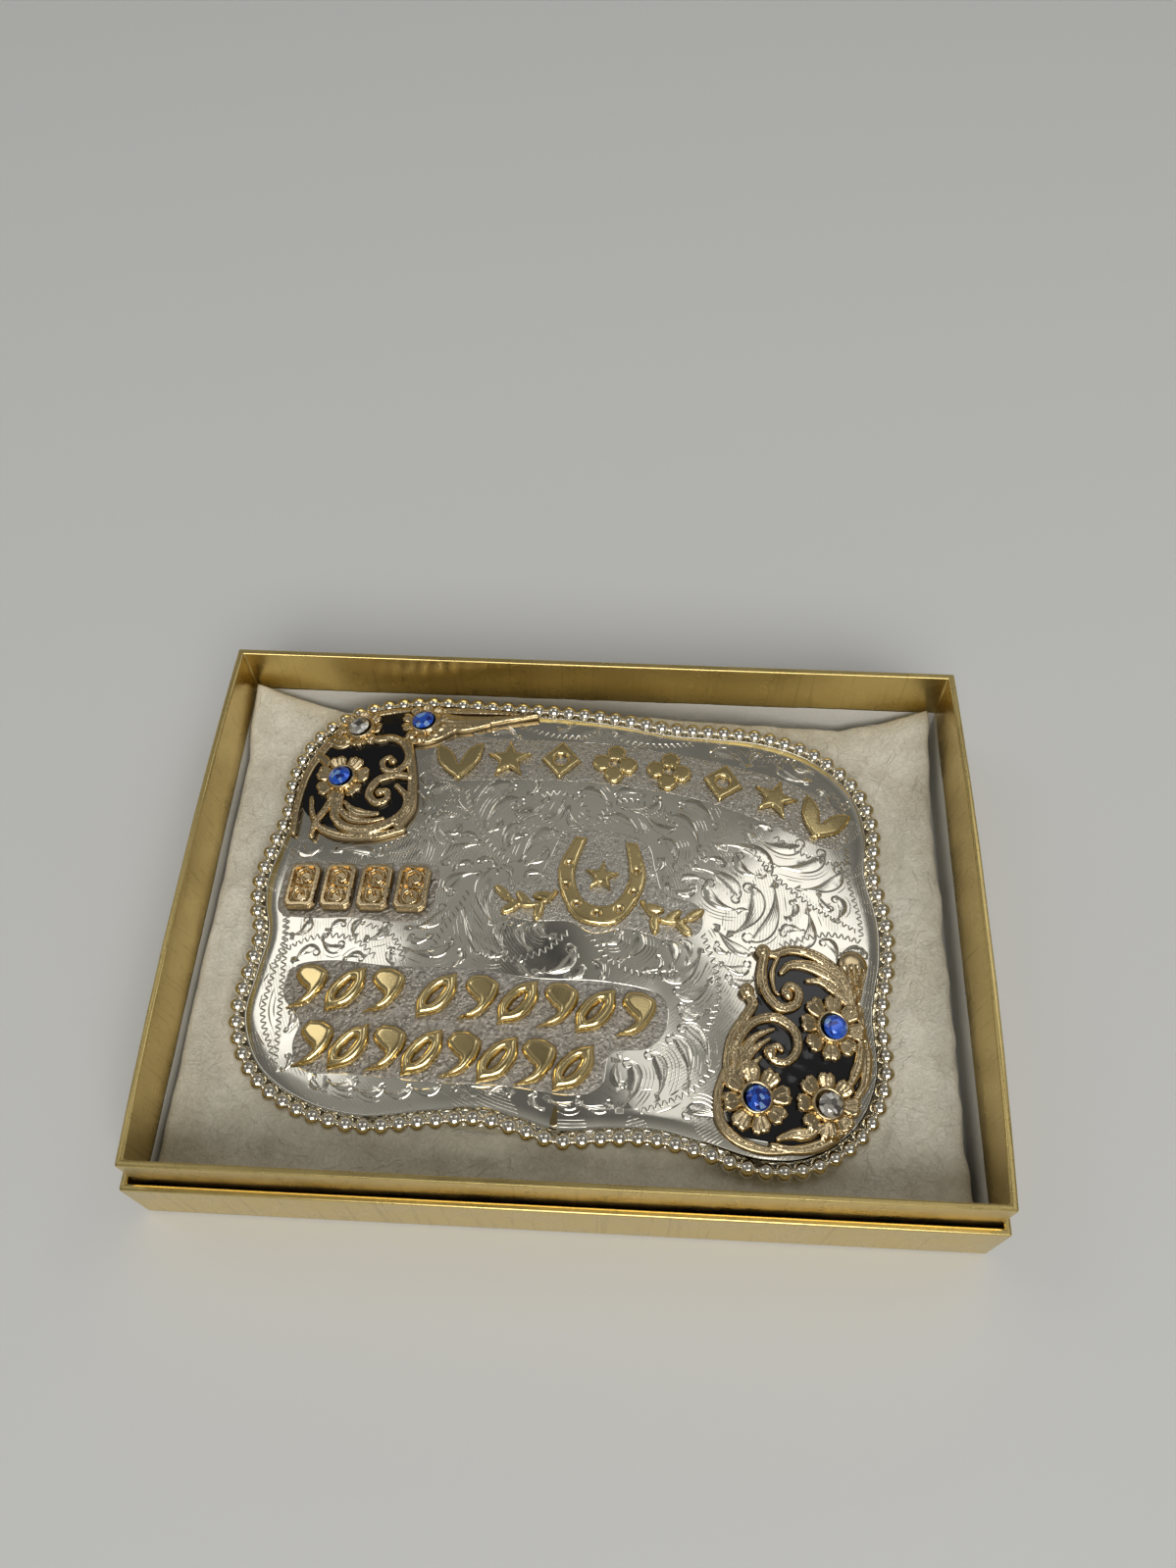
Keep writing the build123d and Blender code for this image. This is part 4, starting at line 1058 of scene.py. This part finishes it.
def band_form(points, widths, top, grooves):
    """Rounded band along a line, chased with grooves: its outline and its height function."""
    line = smooth_line(points, 0.25)
    share = np.linspace(0, 1, len(line))
    half = np.interp(share, (0, 0.5, 1), widths) / 2
    left = left_of(line)
    angle = np.linspace(0, math.pi, 6)[1:-1, None]
    ahead = np.c_[left[:, 1], -left[:, 0]]
    end = line[-1] + half[-1] * (np.cos(angle) * left[-1] + np.sin(angle) * ahead[-1])
    start = line[0] - half[0] * (np.cos(angle) * left[0] + np.sin(angle) * ahead[0])
    loop = np.vstack([line + left * half[:, None], end, (line - left * half[:, None])[::-1], start])

    def height(x, y):
        level = np.full(len(x), BELOW)
        spot = near(line, x, y, half.max() + 0.1)
        px, py = x[spot, None] - line[:, 0], y[spot, None] - line[:, 1]
        far = np.hypot(px, py) / half
        best = far.argmin(1)
        pick = np.arange(len(spot)), best
        side = (px * left[:, 0] + py * left[:, 1])[pick] / half[best]
        far = far[pick]
        lift = BAND_FOOT + (top - BAND_FOOT) * np.sqrt(np.clip(1 - 0.92 * far ** 3.4, 0, 1))
        for place in GROOVES[grooves]:
            run = np.clip(np.minimum(share[best], 1 - share[best]) * 8, 0, 1)
            lift -= (0.5 if grooves == 4 else 0.17) * run * np.exp(-((side - place) / 0.11) ** 2)
        level[spot] = np.where(far < 1.06, lift, BELOW)
        return level
    return loop, height


def ball_form(x0, y0, radius):
    """Round knob at the end of a scroll."""
    def height(x, y):
        far = np.hypot(x - x0, y - y0) / radius
        level = 0.7 + 1.35 * np.sqrt(np.clip(1 - 0.85 * far ** 2, 0, 1))
        return np.where(far < 1.04, level, BELOW)
    return round_loop(x0, y0, radius, 24), height


def flower_form(centre, radius, count, turn):
    """Flower with notched, fluted petals round a collar, and a seat for its stone."""
    def petal(angle):
        place = (angle - math.radians(turn)) * count / math.tau
        return place - np.round(place)

    def edge(angle):
        place = np.abs(petal(angle))
        return radius * (1 - 0.24 * (2 * place) ** 4 - 0.05 * np.exp(-(place / 0.06) ** 2)
                         + 0.035 * np.cos(angle * 3 + radius)
                         + 0.02 * np.cos(angle * 5 * count + 1))
    angle = np.linspace(0, math.tau, 16 * count, endpoint=False)
    loop = np.c_[centre[0] + edge(angle) * np.cos(angle), centre[1] + edge(angle) * np.sin(angle)]

    def height(x, y):
        dx, dy = x - centre[0], y - centre[1]
        far, angle = np.hypot(dx, dy), np.arctan2(dy, dx)
        out = far / edge(angle)
        place = np.abs(petal(angle))
        cup = (1.12 + 0.62 * np.clip((out - 0.4) / 0.5, 0, 1) ** 1.2
               - 0.3 * np.clip((out - 0.9) / 0.1, 0, 1) ** 2)
        crease = 0.62 * np.exp(-((0.5 - place) / 0.06) ** 2) * np.clip((out - 0.3) / 0.3, 0, 1)
        crease += 0.30 * np.clip((place - 0.15) / 0.35, 0, 1) ** 1.5
        flute = 0.13 * np.exp(-(place / 0.035) ** 2) * np.clip((out - 0.35) / 0.4, 0, 1)
        petals = cup - crease - flute
        ring = (far - STONE_RADIUS - 0.34) / 0.36
        collar = 1.35 + 0.72 * np.sqrt(np.clip(1 - ring ** 2, 0, 1))
        level = np.where(np.abs(ring) < 1, np.maximum(collar, petals), petals)
        level = np.where(far < STONE_RADIUS + 0.06, 0.55 + 0.55 * far, level)
        return np.where(out < 1.03, level, BELOW)
    return loop, height, [round_loop(*centre, STONE_RADIUS + gap, 40) for gap in (0.04, 0.1)]


def relief(name, forms, finish, spacing=0.2, seat=SEAT_GAP, pierced=()):
    """Closed mesh of forms that stand on the plate: their heights, walls and a flat back."""
    points, edges = [], []
    for form in forms:
        for loop in [form[0]] + (form[2] if len(form) > 2 else []) + list(pierced):
            first = len(points)
            points += map(tuple, loop)
            edges += [(first + k, first + (k + 1) % len(loop)) for k in range(len(loop))]
    every = np.vstack([form[0] for form in forms])
    low, high = every.min(0), every.max(0)
    x, y = np.meshgrid(np.arange(low[0], high[0], spacing), np.arange(low[1], high[1], spacing))
    x = (x + random.uniform(-0.3, 0.3, x.shape) * spacing).ravel()
    y = (y + random.uniform(-0.3, 0.3, y.shape) * spacing).ravel()
    keep = np.zeros(len(x), bool)
    for form in forms:
        spot = near(form[0], x, y, 0)
        keep[spot] |= inside(form[0], x[spot], y[spot])
    points += zip(x[keep], y[keep])
    flat, faces, merged = triangulated(points, edges, 0.012)
    centre = flat[faces].mean(1)
    keep = np.zeros(len(faces), bool)
    for form in forms:
        spot = near(form[0], *centre.T, 0)
        keep[spot] |= inside(form[0], *centre[spot].T)
    for hole in pierced:
        keep &= ~inside(hole, *centre.T)
    faces = faces[keep]
    used = np.unique(faces)
    number = np.full(len(flat), -1)
    number[used] = np.arange(len(used))
    flat, faces = flat[used], number[faces]
    x, y = flat.T
    level = np.full(len(x), FLOOR)
    for form in forms:
        level = np.maximum(level, form[1](x, y))
    pairs = np.vstack([faces[:, [0, 1]], faces[:, [1, 2]], faces[:, [2, 0]]])
    there = set(map(tuple, pairs))
    rim = [(a, b) for a, b in there if (b, a) not in there]
    n = len(flat)
    top = np.c_[flat, dome(x, y) + level]
    low = np.c_[flat, dome(x, y) + seat]
    shape = [tuple(f) for f in faces] + [tuple(f + n) for f in faces[:, ::-1]]
    for a, b in rim:
        shape += [(a, a + n, b + n), (a, b + n, b)]
    piece = mesh_piece(name, to_room(np.vstack([top, low])), shape, finish)
    piece.data.set_sharp_from_angle(angle=math.radians(62))
    mark = piece.data.attributes.new("lift", "FLOAT", "POINT")
    mark.data.foreach_set("value", np.r_[level, np.full(n, seat)])
    return piece


gilt, base, spot, shader = material("cast_gold")
lift = base.node("ShaderNodeAttribute", {"attribute_name": "lift"}, out=2)
# Low ground and the flanks of the forms are darkened: partly patina in the hollows, partly painted
# shade.
shade_and_patina = lift.between(1.15, 0.55)
patches = noise(base, spot, 260, 4, 0.6)
gold = patches.mixed((0.62, 0.48, 0.27), (0.74, 0.59, 0.36))
paint(shader, colour=(shade_and_patina * 0.85).mixed(gold, (0.13, 0.085, 0.035)),
      metal=1.0, rough=patches.between(0.3, 0.8) * 0.10 + 0.16 + shade_and_patina * 0.25,
      normal=bump(base, noise(base, spot, 1400, 4, 0.6), 0.00003, 0.4,
                  bump(base, patches, 0.0002, 0.3)))
for name, bands, balls, flowers in (
        ("corner_overlay_left", LEFT_BANDS, LEFT_BALLS, LEFT_FLOWERS),
        ("corner_overlay_right", RIGHT_BANDS, RIGHT_BALLS, RIGHT_FLOWERS)):
    forms = [band_form(*row) for row in bands] + [ball_form(*row) for row in balls]
    forms += [flower_form(*row) for row in flowers]
    overlay = relief("chased_" + name, forms, gilt)
    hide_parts(name)
    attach(overlay, "root")


# The enamel: black glaze melted into the overlays' ground. It pools a little unevenly.

ENAMEL_TOP = 0.62
ENAMEL_FIELDS = {
    "enamel_left": [
        [(-51.6, 16.0), (-52.0, 24.0), (-49.6, 29.6), (-43.5, 31.8), (-37.0, 31.6), (-33.6, 29.0),
         (-32.0, 23.0),
         (-31.4, 16.0), (-34.0, 12.6), (-38.4, 11.4), (-43.4, 11.8), (-47.4, 13.0)],
        [(-41.6, 32.6), (-41.6, 37.4), (-37.4, 38.8), (-31.0, 38.6), (-31.0, 34.0), (-36.0, 31.6)]],
    "enamel_right": [
        [(34.6, -5.2), (38.6, -4.0), (43.6, -5.2), (48.6, -8.4), (50.8, -13.0), (51.4, -19.0),
         (50.6, -25.0),
         (49.6, -30.4), (44.0, -34.8), (37.0, -35.6), (31.4, -34.6), (29.2, -29.0), (30.2, -21.0),
         (32.6, -14.6),
         (34.0, -11.0)]],
}


def pool_form(points):
    """Glaze that fills a field, its face a little wavy."""
    loop = smooth_line(points, 0.5, closed=True)[:-1]

    def height(x, y):
        wave = 0.012 * np.sin(x * 1.9 + 1.3 * np.sin(y * 1.1)) + 0.01 * np.sin(y * 2.3 + x * 0.9)
        there = inside(loop, x, y) | (reach_of(loop, x, y) < 0.02)
        return np.where(there, ENAMEL_TOP + wave, BELOW)
    return loop, height


glaze, base, spot, shader = material("enamel_glaze")
pits = noise(base, spot, 700, 3)
paint(shader, colour=(0.005, 0.005, 0.006), rough=0.07, normal=bump(base, pits, 0.00008, 0.2))
for name, fields in ENAMEL_FIELDS.items():
    pool = relief("glazed_" + name, [pool_form(field) for field in fields], glaze, 0.4)
    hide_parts(name)
    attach(pool, "root")


# The flat ornaments: sawn from brass sheet, their edges broken with a file, and polished.
# Eight stand in an arc over the middle, where a horseshoe, a star and two sprays are set.

ARC_TOP = 0.95
FILED_EDGE = 0.38
SHOE_PLACE = (5.3, 4.6)
STAR_PLACE = (5.3, 5.6)
# Sprays: side that they curl to, place across and up.
SPRAYS = {"emblem_spray_right": (1, 17.6, 0.2), "emblem_spray_left": (-1, -7.0, 0.2)}
SPRAY_RADIUS, SPRAY_RISE, SPRAY_STEM_HALF = 5.2, 3.6, 0.45
# Leaves of a spray: place round its curl in degrees, side of the stem.
SPRAY_LEAVES = ((215, 1), (240, -1), (265, 1), (285, -1), (308, 0))


def shifted(points, x, y, turn=0.0, size=1.0):
    """A figure turned in degrees, scaled and moved to its place."""
    c, s = math.cos(math.radians(turn)) * size, math.sin(math.radians(turn)) * size
    points = np.asarray(points, float)
    return np.c_[x + c * points[:, 0] - s * points[:, 1], y + s * points[:, 0] + c * points[:, 1]]


def pillow_form(loop, top, roll, base=0.2, holes=()):
    """Sheet with a rolled edge: flat in the middle, falling off over a distance."""
    def height(x, y):
        level = np.full(len(x), BELOW)
        spot = near(loop, x, y, 0.05)
        far = reach_of(loop, x[spot], y[spot])
        there = inside(loop, x[spot], y[spot]) | (far < 0.02)
        for hole in holes:
            far = np.minimum(far, reach_of(hole, x[spot], y[spot]))
        share = 1 - np.clip(far / roll, 0, 1)
        swell = base + (top - base) * np.sqrt(np.clip(1 - share ** 2, 0, 1))
        level[spot] = np.where(there, swell, BELOW)
        return level
    return loop, height


def straight_line(points, step=0.5):
    """Points evenly spaced round a closed figure with straight sides."""
    p = np.array(points + points[:1], float)
    length = run_of(p)[-1]
    return places_at(p, np.linspace(0, length, round(length / step), endpoint=False))


def star_loop(radius):
    """Five pointed star."""
    angle = np.arange(10) * math.pi / 5
    r = np.where(np.arange(10) % 2 == 0, radius, radius * 0.42)
    return straight_line(list(zip(r * np.sin(angle), r * np.cos(angle))), 0.3)


LOZENGE = straight_line([(0, 4.2), (3.7, 0), (0, -4.2), (-3.7, 0)], 0.3)
LEAF_HALF = smooth_line([(0, -4.0), (3.6, -0.9), (4.3, 3.6), (1.0, 1.4)], 0.3, closed=True)[:-1]
# Arc: kind, centre across, centre up, turn.
ARC = {
    "arc_leaf_left": ("leaf", -24.0, 27.6, 6),
    "arc_star_left": ("star", -14.6, 28.3, 4),
    "arc_lozenge_left": ("lozenge", -5.0, 29.1, 2),
    "arc_quatrefoil_left": ("quatrefoil", 5.0, 29.4, 0),
    "arc_quatrefoil_right": ("quatrefoil", 15.0, 29.2, -2),
    "arc_lozenge_right": ("lozenge", 25.0, 28.4, -6),
    "arc_star_right": ("star", 34.8, 26.8, -12),
    "arc_leaf_right": ("leaf", 43.6, 24.0, -19),
}


def arc_forms(kind, x, y, turn):
    """Outlines of one flat ornament, and of its holes."""
    if kind == "star":
        return [(shifted(star_loop(4.4), x, y, turn), ())]
    if kind == "lozenge":
        return [(shifted(LOZENGE, x, y, turn), (shifted(round_loop(0, 0, 1.2), x, y, turn),))]
    if kind == "quatrefoil":
        lobes = [shifted(round_loop(2.43, 0, 1.76), x, y, turn + 90 * k) for k in range(4)]
        hole = shifted(round_loop(0, 0, 1.0), x, y, turn)
        heart = shifted(round_loop(0, 0, 2.2), x, y, turn)
        return [(heart, (hole,))] + [(lobe, ()) for lobe in lobes]
    left = (LEAF_HALF * (-1, 1))[::-1]
    stem = straight_line([(-0.6, -4.4), (0.6, -4.4), (0.6, -0.8), (-0.6, -0.8)], 0.3)
    return [(shifted(loop, x, y, turn), ()) for loop in (LEAF_HALF, left, stem)]


def ornament(name, outlines, top, roll, spacing=0.3):
    """A raised ornament of brass that stands in for its CAD node."""
    forms = [pillow_form(loop, top, roll, holes=holes) for loop, holes in outlines]
    pierced = [hole for loop, holes in outlines for hole in holes]
    piece = relief("filed_" + name, forms, brass, spacing, pierced=pierced)
    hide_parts(name)
    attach(piece, "root")


brass, base, spot, shader = material("polished_brass")
scratches = noise(base, spot, 900, 4, 0.7, (1, 5, 1))
smear = noise(base, spot, 180, 3)
lift = base.node("ShaderNodeAttribute", {"attribute_name": "lift"}, out=2)
# The rolled edges, where the sheet turns down to the plate, are darkened: painted shade.
rim = lift.between(0.75, 0.3)
yellow = smear.mixed((0.77, 0.60, 0.27), (0.86, 0.69, 0.36))
paint(shader, colour=(rim * 0.6).mixed(yellow, (0.36, 0.25, 0.09)),
      metal=1.0, rough=smear.between(0.3, 0.8) * 0.10 + 0.13,
      normal=bump(base, scratches, 0.00002, 0.4,
                  bump(base, noise(base, spot, 140, 2), 0.0002, 0.2)))
for name, row in ARC.items():
    ornament(name, arc_forms(*row), ARC_TOP, FILED_EDGE)

outer = smooth_line([(-5.6, 8.3), (-7.7, 1.0), (-4.6, -6.6), (0, -8.3), (4.6, -6.6), (7.7, 1.0),
                     (5.6, 8.3)], 0.3)
inner = smooth_line([(3.4, 8.3), (4.7, 1.0), (2.8, -3.6), (0, -4.7), (-2.8, -3.6), (-4.7, 1.0),
                     (-3.4, 8.3)], 0.3)
nails = [(6.2 * math.cos(a), 0.4 + 6.8 * math.sin(a))
         for a in map(math.radians, range(-198, 19, 36))]
holes = [round_loop(SHOE_PLACE[0] + a, SHOE_PLACE[1] + b, 0.42, 12) for a, b in nails]
shoe = shifted(np.vstack([outer, inner]), *SHOE_PLACE)
ornament("emblem_horseshoe", [(shoe, holes)], ARC_TOP, 0.5)
ornament("emblem_star", [(shifted(star_loop(3.2), *STAR_PLACE), ())], ARC_TOP, FILED_EDGE)

stem = smooth_line([(math.cos(a) * SPRAY_RADIUS, SPRAY_RISE + math.sin(a) * SPRAY_RADIUS)
                    for a in np.radians(np.linspace(200, 308, 10))], 0.3)
out = left_of(stem) * SPRAY_STEM_HALF
loops = [np.vstack([stem + out, (stem - out)[::-1]])]
for angle, hand in SPRAY_LEAVES:
    a = math.radians(angle)
    oval = round_loop(0, 0, 1) * (1.9, 0.85) + (1.5, 0)
    loops.append(shifted(oval, SPRAY_RADIUS * math.cos(a), SPRAY_RISE + SPRAY_RADIUS * math.sin(a),
                         angle + 90 + hand * 50))
for name, (side, x, y) in SPRAYS.items():
    ornament(name, [(loop * (side, 1) + (x, y), ()) for loop in loops], ARC_TOP, 0.35)


# A seam of brass solder where the two ends of the bead wire meet, run over the plate's edge.

SEAM = [(2.1, -37.6), (2.2, -36.2), (2.4, -34.9), (2.8, -34.8), (3.1, -36.2), (3.2, -37.6)]
seam_form = pillow_form(smooth_line(SEAM, 0.3, True)[:-1], 0.3, 0.4, 0.1)
seam = relief("solder_seam", [seam_form], brass, 0.25, 0.0)
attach(seam, "root")


# The plaques: four small blocks, cast with a scroll sunk in each and left dark in the hollows.

PLAQUE_TOP = 2.0
PLAQUE_HALF = (2.95, 4.35)
PLAQUE_CORNER = 0.9
PLAQUE_TURN = 1.5
HOLLOW_SHARE = (0.70, 0.80)
HOLLOW_DEPTH = 0.85
PLAQUES = (-47.2, -40.6, -33.9, -27.2)
PLAQUE_LEVEL, PLAQUE_SLOPE = -0.6, 0.02
# Scrolls inside a plaque: places along the middle, widths.
PLAQUE_SCROLLS = [
    ([(-1.1, 1.0), (-1.3, 2.4), (-0.2, 3.1), (1.1, 2.5), (1.2, 1.2), (0.3, 0.7), (-0.2, 1.5)],
     (0.5, 0.8, 0.7)),
    ([(1.1, -1.0), (1.3, -2.4), (0.2, -3.1), (-1.1, -2.5), (-1.2, -1.2), (-0.3, -0.7), (0.2, -1.5)],
     (0.5, 0.8, 0.7)),
    ([(-1.3, 0.3), (0.0, 0.0), (1.3, -0.3)], (0.5, 0.7, 0.5)),
]


def block_form(x, y):
    """Block with clipped corners and a rolled edge, and a hollow sunk in its face."""
    w, h = PLAQUE_HALF
    c = PLAQUE_CORNER
    corners = [(w - c, h), (w, h - c), (w, -h + c), (w - c, -h), (-w + c, -h), (-w, -h + c),
               (-w, h - c), (-w + c, h)]
    within = [(a * HOLLOW_SHARE[0], b * HOLLOW_SHARE[1]) for a, b in corners]
    block = shifted(straight_line(corners, 0.25), x, y, PLAQUE_TURN)
    hollow = shifted(straight_line(within, 0.25), x, y, PLAQUE_TURN)

    def height(px, py):
        far, sunk = reach_of(block, px, py), inside(hollow, px, py)
        edge = 1 - np.clip(far / 0.3, 0, 1)
        wall = np.clip(reach_of(hollow, px, py) / 0.18, 0, 1) * sunk
        level = FLOOR + (PLAQUE_TOP - FLOOR) * np.sqrt(np.clip(1 - edge ** 2, 0, 1))
        return np.where(inside(block, px, py) | (far < 0.02), level - wall * HOLLOW_DEPTH, BELOW)
    return block, height, [hollow]


for number, x in enumerate(PLAQUES, 1):
    y = PLAQUE_LEVEL + PLAQUE_SLOPE * (x - PLAQUES[0])
    scrolls = [band_form(shifted(points, x, y, PLAQUE_TURN), widths, PLAQUE_TOP - 0.05, 0)
               for points, widths in PLAQUE_SCROLLS]
    piece = relief("cast_plaque_%d" % number, [block_form(x, y)] + scrolls, gilt, 0.2)
    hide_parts("plaque_%d" % number)
    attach(piece, "root")


# The row scrolls: cast brass leaves and commas with fat rounded faces, highly polished.

SCROLL_TOP = 1.55
SCROLL_ROLL = 1.15
ROW_HEIGHT = 8.2
ROW_SLOPE = 0.006


def two_sided(side, back):
    """Closed figure of two curves that meet at their ends, scaled to the row's height."""
    return np.vstack([smooth_line(side, 0.035), smooth_line(back, 0.035)[1:-1]]) * ROW_HEIGHT


COMMA = two_sided([(-0.36, -0.46), (0.08, -0.36), (0.37, 0.02), (0.40, 0.34), (0.14, 0.5)],
                  [(0.14, 0.5), (-0.16, 0.47), (-0.29, 0.24), (-0.12, 0.03), (0.02, -0.08),
                   (-0.10, -0.26), (-0.36, -0.46)])
WILLOW = two_sided([(-0.34, -0.5), (-0.36, -0.06), (-0.06, 0.34), (0.36, 0.5)],
                   [(0.36, 0.5), (0.40, 0.06), (0.14, -0.34), (-0.34, -0.5)])
SLIT = shifted(round_loop(0, 0, 1, 24) * (0.24, 0.055), 0, 0, 55, ROW_HEIGHT)
# Rows: places across, height of the first scroll's middle.
ROWS = {
    "upper_scroll_": ([-42.2, -35.4, -28.6, -19.6, -12.6, -5.9, 0.7, 7.0, 13.6], -19.0),
    "lower_scroll_": ([-39.0, -32.8, -26.5, -20.3, -14.0, -7.8, -1.6, 4.6], -28.7),
}
for label, (across, level) in ROWS.items():
    for number, x in enumerate(across, 1):
        y = level + ROW_SLOPE * (x - across[0])
        outline, holes = (COMMA, ()) if number % 2 else (WILLOW, (shifted(SLIT, x, y),))
        outline = shifted(outline, x, y)
        ornament(label + str(number), [(outline, holes)], SCROLL_TOP, SCROLL_ROLL, 0.26)


# The cut stones: foil backed glass, pressed into the flowers. The foil throws the light back
# through the facets. Their light and dark tones and their bright flashes are painted into
# the colour, in random patches.

for name, slot, deep, body, facet_glint in (
        ("blue_glass", "blue_stone", (0.004, 0.02, 0.22), (0.02, 0.13, 0.80), (0.30, 0.52, 1.0)),
        ("clear_glass", "clear_stone", (0.10, 0.09, 0.08), (0.52, 0.50, 0.45), (0.97, 0.96, 0.92))):
    glass, base, spot, shader = material(name)
    facets = base.node("ShaderNodeTexVoronoi", {"feature": "F1"},
                       {"Vector": spot, "Scale": 1150.0}, "Color")
    tone = base.node("ShaderNodeSeparateColor", None, {"Color": facets})
    # Random patches: painted shade of dark facets, the glass's own colour, and painted glints.
    colour = tone.between(0.78, 0.86).mixed(tone.between(0.15, 0.5).mixed(deep, body), facet_glint)
    paint(shader, colour=colour, metal=0.35, rough=0.04)
    shader.inputs["Coat Weight"].default_value = 1.0
    shader.inputs["Coat Roughness"].default_value = 0.02
    for node in nodes:
        if node.startswith("stone_") and ("_clear" in node) == (slot == "clear_stone"):
            dress(node, glass)
